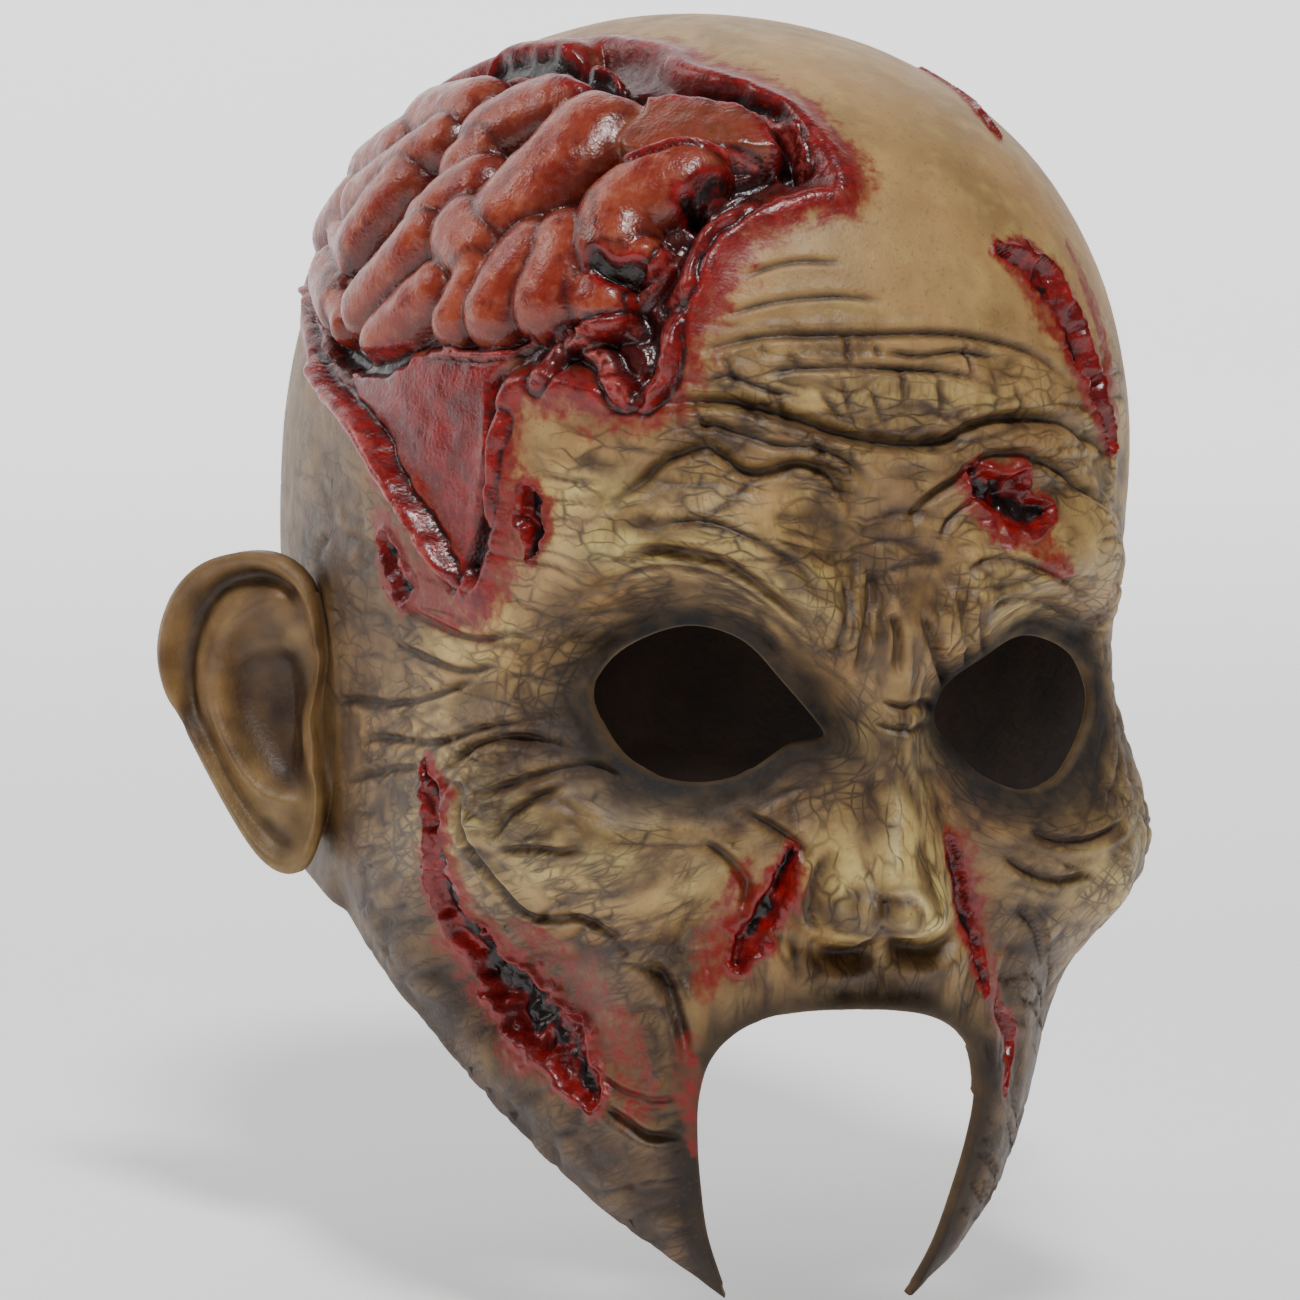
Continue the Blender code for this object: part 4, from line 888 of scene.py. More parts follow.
for strength, rows in SMEARS:
    line = smooth_line(rows, 3)
    spots = on_skin(line[:, :2])
    half = line[:, 2] / PIXELS_PER_MM
    part = window(spots, 2.4 * half.max() * MM)
    away, where = line_distance(broad[part], spots)
    reach = away / MM / np.interp(where, np.arange(len(half)), half)
    reach = reach + 0.45 * soft_noise(broad[part], 5, 14) + 0.3 * soft_noise(broad[part], 1.6, 15)
    rim_red[part] = np.maximum(rim_red[part], strength * smooth_step(reach, 1.5, 0.5))
print(len(WOUNDS), "small wounds,", len(SMEARS), "smears")

# %% [markdown]
# ## Layers of paint
# The cast is painted in thin layers, and each layer is a number from 0 to 1 at every place: brown
# wash that stays in the wrinkles, pale dry-brush on the high places that also paints highlights where
# the light falls, painted shade that darkens the jaw, the sides and the hollows, black round the eye
# holes, umber under them that with its dabs also paints shade between the brows and in the hollows,
# and the reds of the wounds. Where a painter would dab by eye, the layers get soft dabs as well.

# %% Dabs of paint, painted highlight and painted shade
def dab(rows):
    """Soft dabs of paint, painted highlight and painted shade, each with its strength, centre and half sizes in
    pixels.
    """
    total = np.zeros(TURN.shape)
    for strength, x, y, half_x, half_y in rows:
        away = ((seen_x - x) / half_x) ** 2 + ((seen_y - y) / half_y) ** 2
        total = np.maximum(total, strength * np.exp(-(away**1.3)))
    return total * smooth_step(facing, 0.0, 0.2)


# Painted highlights: pale dabs where the light falls brightest, on the near brow, cheekbone, nose and forehead
PALE_HIGHLIGHT_DABS = [
    # strength, x, y, half width, half height
    (1.0, 660, 545, 90, 30),
    (0.9, 780, 590, 60, 34),
    (0.8, 600, 492, 60, 26),
    (0.8, 905, 770, 34, 70),
    (1.0, 850, 905, 40, 44),
    (1.0, 928, 896, 32, 48),
    (0.9, 500, 820, 66, 50),
    (0.9, 590, 850, 80, 42),
    (0.6, 470, 640, 60, 40),
    (0.7, 1010, 600, 46, 46),
    (0.5, 1100, 480, 30, 90),
    (0.7, 1112, 850, 24, 60),
    (0.5, 700, 880, 60, 40),
    (0.5, 880, 400, 180, 26),
    (0.5, 430, 720, 60, 60),
]
# Painted shade: umber dabs in the hollows between the brows, over the lip, in the cheeks and at the temples
UMBER_SHADE_DABS = [
    # strength, x, y, half width, half height
    (0.9, 900, 560, 52, 90),
    (0.8, 890, 660, 50, 56),
    (0.7, 860, 990, 130, 34),
    (0.8, 560, 1000, 90, 70),
    (0.6, 380, 620, 70, 90),
    (0.7, 1030, 880, 50, 60),
    (0.6, 640, 470, 50, 24),
    (0.6, 720, 600, 90, 24),
    (0.7, 760, 430, 200, 22),
    (0.5, 310, 560, 50, 120),
]
# Painted shade: dark dabs on the jaw, under the cheekbone, at the mouth's corners and over the lip
SHADE_DABS = [
    # strength, x, y, half width, half height
    (0.95, 430, 1020, 100, 130),
    (1.0, 560, 1170, 240, 130),
    (0.8, 690, 1080, 60, 120),
    (1.0, 1020, 1080, 60, 160),
    (0.55, 340, 760, 50, 110),
    (0.8, 560, 990, 100, 60),
    (0.6, 860, 985, 120, 22),
    (0.5, 300, 500, 40, 120),
    (0.6, 980, 940, 40, 60),
]
print(len(PALE_HIGHLIGHT_DABS), "pale dabs,", len(UMBER_SHADE_DABS), "of umber,", len(SHADE_DABS), "of dabbed_shade")

# %% Skin paint masks
broad_rise = ((broad - bare) * out_way).sum(-1) / RELIEF
mottle = soft_noise(broad, 16, 20) * 0.6 + soft_noise(broad, 6, 21) * 0.4
speckle = soft_noise(broad, 2.2, 22)


wash = np.clip(groove_dark + 0.10 * speckle * (groove_dark > 0.1), 0, 1) * (1 - inner)
# Pale dry-brush on the high places, with painted highlights: it fades out towards the jaw and round the sides, and
# the pale dabs add highlights
drybrush_and_highlight = np.clip(broad_rise * 0.55 + 0.05 + 0.25 * mottle, 0, 1) * smooth_step(level_z, 205, 150)
drybrush_and_highlight = np.maximum(drybrush_and_highlight, dab(PALE_HIGHLIGHT_DABS))
drybrush_and_highlight = drybrush_and_highlight * (1 - groove_dark) * smooth_step(side_turn, 95, 62)
# Painted shade: darker towards the jaw, on the sides and in broad hollows, with a brown mottle and dark dabs; lighter
# under the highlight dabs
shade_and_grime = 0.06 + 0.90 * smooth_step(level_z, 140, 215)
shade_and_grime += 0.62 * smooth_step(side_turn, 40, 88) * smooth_step(level_z, 40, 95)
shade_and_grime = np.maximum(shade_and_grime + 0.25 * smooth_step(-broad_rise, 0.0, 0.8) + 0.16 * mottle, dab(SHADE_DABS))
shade_and_grime = np.clip(shade_and_grime - 0.75 * dab(PALE_HIGHLIGHT_DABS), 0, 1)
black = smooth_step(eye_mm + 1.6 * mottle, 9.0, 0.5)
black = np.maximum(black, 0.85 * smooth_step(mouth_mm + 1.2 * mottle, 6.5, 0.5))
# Umber under the eye holes, with painted shade from the umber dabs
umber_and_shade = smooth_step(eye_mm + 4 * mottle, 24, 7) * smooth_step(level_z, 118, 132) * (level_z < 168)
umber_and_shade = np.clip(np.maximum(umber_and_shade, dab(UMBER_SHADE_DABS)) + 0.12 * mottle, 0, 1)
print("skin paint masked")

# %% Wound paint masks
brain = inner * (1 - 0.95 * meat) * (1 - 0.5 * flap)
red_flat = inner * np.maximum(meat, 0.72 * flap)
stain = smooth_step(edge + 1.5 * speckle + 2.2 * mottle, 9.5, 1.0) * (1 - inner)
along_edge = inner * np.exp(-((edge / 3.4) ** 2)) + 0.9 * np.exp(-((edge / 3.2) ** 2))
blood = np.clip(np.maximum(blood, along_edge), 0, 1)
# Painted shade: darker in the gaps between the lobes and in their low places, and towards each lobe's edge
gap_shade = inner * np.clip(0.9 * between + smooth_step(dome, 0.32, 0.05) * (1 - smooth_part), 0, 1)
lobe_edge_shade = inner * smooth_step(best, 0.35, 0.95) * (1 - smooth_part)
stain = np.clip(np.maximum(stain, rim_red), 0, 1)
wet = np.clip(np.maximum.reduce([inner, blood, clot, 0.4 * stain]), 0, 1)
paint = {
    "wash": wash, "drybrush_and_highlight": drybrush_and_highlight, "shade_and_grime": shade_and_grime, "black": black, "umber_and_shade": umber_and_shade, "brain": brain,
    "red_flat": red_flat, "gap_shade": gap_shade, "stain": stain, "blood": blood, "clot": np.clip(clot, 0, 1),
    "pale_lip": np.clip(pale_lip, 0, 1), "wet": wet, "lobe_edge_shade": lobe_edge_shade,
}
dry_skin = fade * (1 - wet) * smooth_step(level, 0.30, 0.5)
paint |= {f"{name}_lines": amount * dry_skin for name, amount in families.items()}
for name in ("ring", "slant"):
    paint |= {f"{name}_{axis}": ways[name][..., k] / MM for k, axis in enumerate("xyz")}
print("paint layers:", ", ".join(paint))

# %% [markdown]
# ## From the lattice to a mesh
# The lattice has far more places than a mesh needs. Cells are joined two by two, four by four and
# eight by eight wherever the skin between them is nearly straight, so the points stay where the
# wrinkles are. Inside, where no wrinkle shows, large cells do.

# %% Cells
STRAIGHT = 0.075  # mm that the skin may depart from a cell's straight edge
skin = broad + out_way * relief[..., None]


def bend(step):
    """How far the skin departs from straight over two steps, in mm."""
    down_it = np.zeros(TURN.shape)
    down_it[step:-step] = np.linalg.norm(skin[2 * step:] + skin[:-2 * step] - 2 * skin[step:-step], axis=-1)
    round_it = np.linalg.norm(np.roll(skin, step, 1) + np.roll(skin, -step, 1) - 2 * skin, axis=-1)
    return np.maximum(down_it, round_it) / 2 / MM


in_view = (facing > -0.15).astype(float)
bends = {step: bend(step) for step in (1, 2, 4)}


def sizes_for(limit):
    allow = limit * (1 + 2.5 * (1 - in_view))
    size = np.full(TURN.shape, 8)
    size[bends[4] > allow * 1.6] = 4
    size[(bends[2] > allow) | (wet > 0.05) & (in_view > 0)] = 2
    size[bends[1] > allow] = 1
    size = size[:-1]
    size[np.abs(gap[:-1]) < 1.5 * FINEST] = 1
    size[-4:] = 2
    size[:4] = 4
    return size


def skin_cells(size):
    """Cells of the lattice, joined where a larger size is allowed, each as its corners going round."""
    allowed, leaves = size.copy(), []
    for block in (8, 4, 2):
        least = allowed.reshape(ROWS // block, block, COLUMNS // block, block).min(axis=(1, 3))
        leaves += [(i * block, j * block, block) for i, j in zip(*np.nonzero(least >= block))]
        allowed[np.repeat(np.repeat(least >= block, block, 0), block, 1)] = 0
    leaves += [(i, j, 1) for i, j in zip(*np.nonzero(allowed > 0))]
    used = np.zeros((ROWS + 1, COLUMNS), bool)
    for i, j, block in leaves:
        for di in (0, block):
            used[i + di, (j + block) % COLUMNS] = used[i + di, j] = True
    cells = []
    for i, j, block in leaves:
        going = [(i, j + k) for k in range(block)] + [(i + k, j + block) for k in range(block)]
        going += [(i + block, j + block - k) for k in range(block)] + [(i + block - k, j) for k in range(block)]
        cells.append([c for c in ((a, b % COLUMNS) for a, b in going) if used[c]])
    return cells


def cut_cells(cells, away, edge_places):
    """The cells that the openings leave, cut to a triangle where an outline passes a corner."""
    kept = []
    for cell in cells:
        state = [0 if edge_places[c] else (1 if away[c] > 0 else -1) for c in cell]
        if min(state) >= 0 and max(state) == 1:
            kept.append(cell)
        elif max(state) == 1:
            rest = [c for c, s in zip(cell, state) if s >= 0]
            if len(rest) >= 3:
                kept.append(rest)
    return kept


def open_edges(cells):
    edges = {(cell[k - 1], cell[k]) for cell in cells for k in range(len(cell))}
    return [(a, b) for a, b in edges if (b, a) not in edges and (a[0] or b[0])]


outer_cells = cut_cells(skin_cells(sizes_for(STRAIGHT)), gap, on_edge)
print("outer skin", sum(len(cell) - 2 for cell in outer_cells), "triangles")

# %% [markdown]
# ## The ears
# Each ear is cast in one with the head. It is built as rings that start at a hole left in the skin,
# climb the ear's back, turn over its edge and go down into the bowl. The rolled edge, the inner
# ridge and the small flap in front of the bowl are then raised on its front.

# %% Ear
EAR_SIZE = np.array([36.5, 62.5]) * MM
EAR_BOWL_DEPTH, EAR_FLARE, EAR_LEAN = 5.4 * MM, math.radians(45), math.radians(8)
EAR_RIM = [
    # out, a share of the ear's width; up, a share of its length
    (1.0, 0.096), (0.96, 0.304), (0.74, 0.456), (0.384, 0.512), (0.11, 0.44), (0.014, 0.24),
    (0.04, 0.048), (0.014, -0.144), (0.014, -0.352), (0.137, -0.488), (0.384, -0.448), (0.74, -0.176),
]
EAR_BOWL = np.array([0.26, -0.032]) * EAR_SIZE
EAR_FRONT = np.array([
    # share of the way from the bowl to the edge; heights where the edge is free and at the face
    (1.00, 0.30, 0.26), (0.93, 0.44, 0.48), (0.84, 0.0, 0.30), (0.72, 0.12, 0.07), (0.60, 0.10, -0.11),
    (0.44, -0.59, -0.30), (0.24, -0.96, -0.67), (0.00, -1.0, -1.0),
])
EAR_LINES = [
    # rise and half width in mm, [(out, up), ...] in shares
    (2.4, 2.2, [(0.26, -0.26), (0.44, -0.20), (0.60, -0.06), (0.66, 0.10), (0.60, 0.24), (0.44, 0.34), (0.30, 0.38)]),
    (1.6, 1.8, [(0.60, 0.14), (0.44, 0.20), (0.28, 0.22)]),
    (1.8, 2.4, [(0.03, 0.02), (0.10, -0.06), (0.06, -0.14)]),
    (1.4, 1.9, [(0.20, -0.27), (0.32, -0.25)]),
    (-1.4, 1.6, [(0.82, -0.06), (0.84, 0.12), (0.78, 0.28), (0.62, 0.40), (0.40, 0.44), (0.22, 0.40)]),
    (1.2, 2.0, [(0.95, 0.0), (0.97, 0.16), (0.90, 0.34), (0.72, 0.45), (0.42, 0.50), (0.16, 0.44), (0.05, 0.26)]),
    (-0.8, 2.4, [(0.34, -0.36), (0.24, -0.40)]),
]


def ear_rings(side, start):
    """Rings from the root to the bowl, each with how far it is towards the bowl and how high it stands."""
    origin = np.array([side * 0.478 * HEAD_WIDTH, EAR_BACK - 0.364 * EAR_ROOT_WIDTH, -EAR_DOWN])
    out_dir = np.array([side * math.sin(EAR_FLARE), math.cos(EAR_FLARE), 0.0])
    face_dir = np.array([side * math.cos(EAR_FLARE), -math.sin(EAR_FLARE), 0.0])
    up_dir = np.array([0.0, math.sin(EAR_LEAN), math.cos(EAR_LEAN)])
    bearing = np.arctan2((start[:, 2] + EAR_DOWN) / EAR_ROOT_HEIGHT, (start[:, 1] - EAR_BACK) / EAR_ROOT_WIDTH)
    shares = np.array(EAR_RIM[-2:] + EAR_RIM + EAR_RIM[:3])
    spread = (bearing / (2 * math.pi) % 1 * 12 + 2) / 16
    rim = np.stack([smooth_curve(spread, shares[:, k]) for k in (0, 1)], -1) * EAR_SIZE
    free = np.clip(rim[:, 0] / EAR_SIZE[0] / 0.384, 0, 1)
    free = free * free * (3 - 2 * free)

    def on_plate(flat_spot, height):
        return origin + flat_spot[:, :1] * out_dir + flat_spot[:, 1:] * up_dir + height[:, None] * face_dir

    rings = []
    edge_ring = on_plate(rim, -WALL * (0.75 * free + 0.125))
    for climb in np.linspace(0.08, 1.0, 10):
        belly = WALL * math.sin(math.pi * climb) * free
        spot = start * (1 - climb) + edge_ring * climb - belly[:, None] * face_dir
        rings.append((spot, 0.4 + 0 * free, 0.25 + 0 * free))
    steps = np.linspace(0, 1, 30)
    reaches, frees, faces_in = (smooth_curve(steps, EAR_FRONT[:, k]) for k in range(3))
    for reach, height_free, height_face in zip(reaches, frees, faces_in):
        place = EAR_BOWL + (rim - EAR_BOWL) * max(reach, 0)
        height = EAR_BOWL_DEPTH * (free * height_free + (1 - free) * height_face)
        added = np.zeros(len(place))
        for rise, half, line in EAR_LINES:
            away = flat_distance(place, smooth_line(line, 4) * EAR_SIZE, False) / MM
            added += rise * np.exp(-((away / half) ** 2)) * MM
        fade = smooth_step(np.array(reach), 0.02, 0.2)
        spot = on_plate(place, height + added * fade)
        least = np.abs(start[:, 0].mean()) + 0.58 * WALL
        spot[:, 0] = side * np.maximum(side * spot[:, 0], least)
        deep = smooth_step((height + added * fade) / MM, 1.2, -4.0)
        hollow = np.maximum(0.75 * deep, smooth_step(added / MM, 0.3, -1.1))
        rings.append((spot, deep, hollow))
    rings[-1] = (np.repeat(rings[-1][0].mean(0)[None], len(start), 0), *rings[-1][1:])
    return rings


print("ear rings:", 10 + 30)

# %% [markdown]
# ## Joining it all
# Outer and inner skins share their cut edges. Between them three thin loops swell a little into each
# opening, which rounds the cut and catches the light like a real latex edge.

# %% Build the skin
numbers, corners, faces, on_inside = {}, [], [], []
inner_size = np.full((ROWS, COLUMNS), 8)
inner_size[np.abs(hole[:-1]) < 1.5 * FINEST] = 1
inner_size[-4:], inner_size[:4] = 2, 4
inner_cells = cut_cells(skin_cells(inner_size), hole, on_edge & (hole < root))
borders = []
for layer, cells in enumerate((outer_cells, inner_cells)):
    borders.append(open_edges(cells))
    for cell in cells:
        going = []
        for i, j in cell:
            key = (layer, 0, 0) if i == 0 else (layer, i, j)
            if key not in numbers:
                numbers[key] = len(corners)
                corners.append((layer, i, j))
            if not going or going[-1] != numbers[key]:
                going.append(numbers[key])
        if going[0] == going[-1]:
            going.pop()
        if len(going) > 2:
            faces.append(going if layer else going[::-1])
            on_inside.append(layer)
layer, rows, cols = np.array(corners).T
deepest = relief.copy()
for step in (1, 2, 4, 5):
    for axis in (0, 1):
        deepest = np.minimum.reduce([deepest, np.roll(deepest, step, axis), np.roll(deepest, -step, axis)])
spots = skin[rows, cols]
lining = layer == 1
at = rows[lining], cols[lining]
thin = np.minimum(broad_lift(bare[at], True) - WALL, broad_rise[at] * RELIEF + deepest[at] - 0.45 * WALL)
spots[lining] = bare[at] + out_way[at] * thin[:, None]
coats = {name: np.where(layer == 0, values[rows, cols], 0.0) for name, values in paint.items()}

inner_border = set(borders[1])
shared = [(a, b) for a, b in borders[0] if (a, b) in inner_border]
ring_places = sorted({a for a, _ in shared} | {b for _, b in shared})
index = {place: k for k, place in enumerate(ring_places)}
where_i, where_j = np.array(ring_places).T
outer_ring = np.array([spots[numbers[(0, *p)]] for p in ring_places])
inner_ring = np.array([spots[numbers[(1, *p)]] for p in ring_places])
here = bare[where_i, where_j]
slope = np.zeros(here.shape)
for axis in (0, 2):
    nudge_by = np.eye(3)[axis] * 0.2 * MM
    slope[:, axis] = np.minimum(*opening_distances(here + nudge_by)) - np.minimum(*opening_distances(here - nudge_by))
slope[where_i == ROWS] = (0, 0, 1)
into_hole = -slope / np.maximum(np.linalg.norm(slope, axis=1, keepdims=True), 1e-9)
loops = [[numbers[(0, *p)] for p in ring_places]]
for share, swell in ((0.12, 0.35), (0.4, 0.6), (0.75, 0.4)):
    first = len(spots)
    middle_ring = outer_ring * (1 - share) + inner_ring * share + into_hole * swell * MM
    spots = np.concatenate([spots, middle_ring])
    for name in coats:
        values = paint[name][where_i, where_j] * (1 - share)
        coats[name] = np.concatenate([coats[name], np.maximum(values, 0.8) if name == "black" else values])
    loops.append(list(range(first, first + len(ring_places))))
loops.append([numbers[(1, *p)] for p in ring_places])
for near_loop, far_loop in zip(loops, loops[1:]):
    for a, b in shared:
        faces.append([near_loop[index[a]], near_loop[index[b]], far_loop[index[b]], far_loop[index[a]]])
        on_inside.append(0)

following = {numbers[(0, *a)]: numbers[(0, *b)] for a, b in borders[0] if (a, b) not in inner_border}
for side in (-1, 1):
    start = next(k for k in following if spots[k, 0] * side > 0)
    loop = [start]
    while following[loop[-1]] != start:
        loop.append(following[loop[-1]])
    last, base = loop, spots[loop]
    for spot, deep, hollow in ear_rings(side, base):
        first = len(spots)
        tip = np.ptp(spot, axis=0).max() < 0.01 * MM
        many = 1 if tip else len(loop)
        spots = np.concatenate([spots, spot[:many]])
        noise_here = soft_noise(spot[:many], 4, 30)
        for name in coats:
            # The ear: painted shade over it, darker deeper in, brown wash in its hollows and a little pale on its
            # lobe
            value = {"shade_and_grime": 0.70 + 0.28 * deep[:many] + 0.20 * noise_here,
                     "wash": 0.85 * hollow[:many]}.get(name, 0.0)
            if name == "drybrush_and_highlight":
                value = 0.25 * smooth_step(deep[:many], 0.5, 0.0) * smooth_step(spot[:many, 2] / MM, -150, -165)
            coats[name] = np.concatenate([coats[name], np.clip(value, 0, 1) + np.zeros(many)])
        new = [first + k % many for k in range(len(loop))]
        for k in range(len(loop)):
            quad = [last[k - 1], last[k], new[k], new[k - 1]]
            faces.append(quad[:3] if tip else quad)
            on_inside.append(0)
        last = new
piece_of = np.array([2 if k >= len(outer_cells) else 0 for k in range(len(faces))])
heights = np.array([spots[face[0], 2] for face in faces])
behind = np.array([spots[face[0], 1] > 5 * MM for face in faces])
piece_of[(piece_of == 0) & (heights < -92 * MM)] = 1
piece_of[(piece_of < 2) & behind] = 3
print(len(spots), "places,", sum(len(face) - 2 for face in faces), "triangles")

# %% [markdown]
# ## Materials
# One function turns the hex colours that a painter would mix by eye into Blender's linear numbers,
# and one small function adds a node with its settings and links.

# %% Helpers for materials
def colour(code):
    parts = [int(code[k:k + 2], 16) / 255 for k in (1, 3, 5)]
    return [p / 12.92 if p <= 0.04045 else ((p + 0.055) / 1.055) ** 2.4 for p in parts] + [1.0]


def add(tree, kind, settings=None, **links):
    """Adds a node. Settings are its properties; links are its inputs, as values or as other sockets."""
    node = tree.nodes.new(kind)
    for name, value in (settings or {}).items():
        setattr(node, name, value)
    for name, value in links.items():
        socket = node.inputs[int(name[1:])] if name[0] == "_" else node.inputs[name.replace("_", " ")]
        if isinstance(value, bpy.types.NodeSocket):
            tree.links.new(value, socket)
        else:
            socket.default_value = value
    return node


def new_material(name):
    material = bpy.data.materials.new(name)
    material.use_nodes = True
    return material, material.node_tree, material.node_tree.nodes["Principled BSDF"]


print("colour of raw latex:", [round(c, 3) for c in colour("#c9a877")[:3]])

# %% [markdown]
# Natural rubber latex, slush-cast and painted by hand. Its base is a tan skin tone, mottled at the
# size of a fingertip. Brown wash and pale dry-brush give the age; the pale layer also paints highlights,
# and dark brown layers paint shade on the jaw, the sides and the hollows. Latex paint dries to a soft satin,
# so the roughness is about a half, and the wounds are varnished wet. Crinkles too fine for the mesh are
# drawn as thin dark lines between the cells of a pattern, about 2 mm wide and squeezed along the skin.

# %% Painted latex
painted, tree, shader = new_material("hand_painted_latex")
place = add(tree, "ShaderNodeTexCoord").outputs["Object"]


def mask(name):
    return add(tree, "ShaderNodeAttribute", {"attribute_name": name}).outputs["Fac"]


def noise(size_mm, detail=2.0, rough=0.6):
    """Cloudy noise whose lumps are about size_mm across."""
    clouds = add(tree, "ShaderNodeTexNoise", Vector=place, Scale=1000 / size_mm, Detail=detail, Roughness=rough)
    return clouds.outputs["Fac"]


def stretch(value, low, high, to_low=0.0, to_high=1.0):
    return add(tree, "ShaderNodeMapRange", {"clamp": True}, Value=value, From_Min=low, From_Max=high,
               To_Min=to_low, To_Max=to_high).outputs["Result"]


def maths(kind, a, b):
    return add(tree, "ShaderNodeMath", {"operation": kind, "use_clamp": True}, _0=a, _1=b).outputs["Value"]


def layer_over(under, over, amount):
    """Paints one colour over another."""
    return add(tree, "ShaderNodeMix", {"data_type": "RGBA"}, _0=amount, _6=under, _7=over).outputs[2]


def dabbed(amount, size_mm, start, end, least, most=1.0):
    """A layer that took unevenly, in lumps of size_mm."""
    return maths("MULTIPLY", amount, stretch(noise(size_mm), start, end, least, most))


def broken(name, size_mm, strength=0.5):
    """A paint mask whose edge is broken up as brushed or dabbed paint is."""
    grain = stretch(noise(size_mm), 0.3, 0.7, -strength / 2, strength / 2)
    rough_mask = add(tree, "ShaderNodeMath", {"operation": "ADD"}, _0=mask(name), _1=grain).outputs["Value"]
    return maths("MULTIPLY", stretch(rough_mask, 0.15, 0.85), stretch(mask(name), 0.0, 0.08))


def crinkles(name, vector, size_mm, width):
    """Thin dark lines between stretched cells, broken up so that they come and go."""
    cells = add(tree, "ShaderNodeTexVoronoi", {"feature": "DISTANCE_TO_EDGE"}, Vector=vector, Scale=1 / size_mm)
    line = stretch(cells.outputs["Distance"], 0.0, width, 1.0, 0.0)
    return maths("MULTIPLY", maths("MULTIPLY", line, mask(name)), stretch(noise(11), 0.36, 0.56))


wander = add(tree, "ShaderNodeTexNoise", Vector=place, Scale=1000 / 7, Detail=1.0).outputs["Color"]
WANDER = 4 * MM
moved = add(tree, "ShaderNodeVectorMath", {"operation": "MULTIPLY_ADD"}, _0=wander, _1=(WANDER, WANDER, WANDER),
            _2=place).outputs["Vector"]


def pulled(scale, turned=0.0):
    """Skin coordinates in mm, wavering, squeezed along the way in which the lines run."""
    return add(tree, "ShaderNodeMapping", {"vector_type": "TEXTURE"}, Vector=moved, Rotation=(0.0, turned, 0.0),
               Scale=[0.001 / s for s in scale]).outputs["Vector"]


SQUEEZE = 1 / 3.4
ring_place, slant_place = (
    add(tree, "ShaderNodeCombineXYZ", X=mask(way + "_x"), Y=mask(way + "_y"), Z=mask(way + "_z")).outputs["Vector"]
    for way in ("ring", "slant"))
fine_lines = crinkles("level_lines", pulled((SQUEEZE, SQUEEZE, 1)), 2.6, 0.12)
for name, vector, size_mm in (
    ("upright_lines", pulled((1, SQUEEZE, SQUEEZE)), 2.3),
    ("slant_lines", slant_place, 2.3),
    ("slant_lines", pulled((1, SQUEEZE, SQUEEZE), 0.6), 2.6),
    ("ring_lines", ring_place, 1.7),
):
    fine_lines = maths("MAXIMUM", fine_lines, crinkles(name, vector, size_mm, 0.12))

tan = layer_over(colour("#b98f58"), colour("#967244"), stretch(noise(22), 0.35, 0.65))
tan = layer_over(tan, colour("#c8a663"), stretch(noise(7), 0.5, 0.75, 0.0, 0.6))
# Pale dry-brush, which also paints highlights
paint_now = layer_over(tan, colour("#d9c476"), dabbed(mask("drybrush_and_highlight"), 3.0, 0.3, 0.6, 0.35))
# Painted shade, with a brown mottle
paint_now = layer_over(paint_now, colour("#38210f"), dabbed(mask("shade_and_grime"), 9, 0.25, 0.7, 0.66))
# Umber under the eyes, and painted shade in the hollows
paint_now = layer_over(paint_now, colour("#54392c"), dabbed(mask("umber_and_shade"), 5, 0.3, 0.7, 0.35, 0.8))
paint_now = layer_over(paint_now, colour("#24120a"), dabbed(mask("wash"), 4, 0.2, 0.7, 0.7))
paint_now = layer_over(paint_now, colour("#2b180c"), dabbed(fine_lines, 3, 0.2, 0.7, 0.6, 0.95))
paint_now = layer_over(paint_now, colour("#140e0b"), dabbed(mask("black"), 6, 0.1, 0.6, 0.75))
pores = stretch(noise(0.9, 2.0), 0.60, 0.72, 0.0, 0.35)
paint_now = layer_over(paint_now, colour("#5a3c22"), pores)
print("skin paint has", len(tree.nodes), "nodes so far")

# %% [markdown]
# The brain is sponged in salmon and orange over pink, the gaps between the lobes and each lobe's edge are darkened
# deep red as painted shade, and the clots are nearly black. Fresh blood is a clear glaze, so it lies over the skin
# paint and lets its grain through.

# %% Wound paint
lobe_tone = layer_over(colour("#842818"), colour("#9c462c"), stretch(noise(9), 0.35, 0.65))
lobe_tone = layer_over(lobe_tone, colour("#b56a4e"), stretch(noise(3.5), 0.52, 0.72, 0.0, 0.6))
lobe_tone = layer_over(lobe_tone, colour("#6a150c"), stretch(noise(5), 0.52, 0.70, 0.0, 0.8))
# Painted shade towards each lobe's edge
lobe_tone = layer_over(lobe_tone, colour("#4f1309"), dabbed(mask("lobe_edge_shade"), 4, 0.3, 0.6, 0.35, 0.85))
paint_now = layer_over(paint_now, colour("#8a4426"), stretch(mask("stain"), 0.05, 0.8, 0.0, 0.45))
paint_now = layer_over(paint_now, colour("#801610"), dabbed(broken("stain", 2.4, 0.9), 4, 0.2, 0.6, 0.6))
paint_now = layer_over(paint_now, lobe_tone, mask("brain"))
meat_tone = layer_over(colour("#5c0a0a"), colour("#841412"), stretch(noise(6), 0.35, 0.65))
paint_now = layer_over(paint_now, meat_tone, mask("red_flat"))
blood_tone = layer_over(colour("#660b0c"), colour("#921614"), stretch(noise(3), 0.4, 0.65))
paint_now = layer_over(paint_now, blood_tone, broken("blood", 2.0, 0.6))
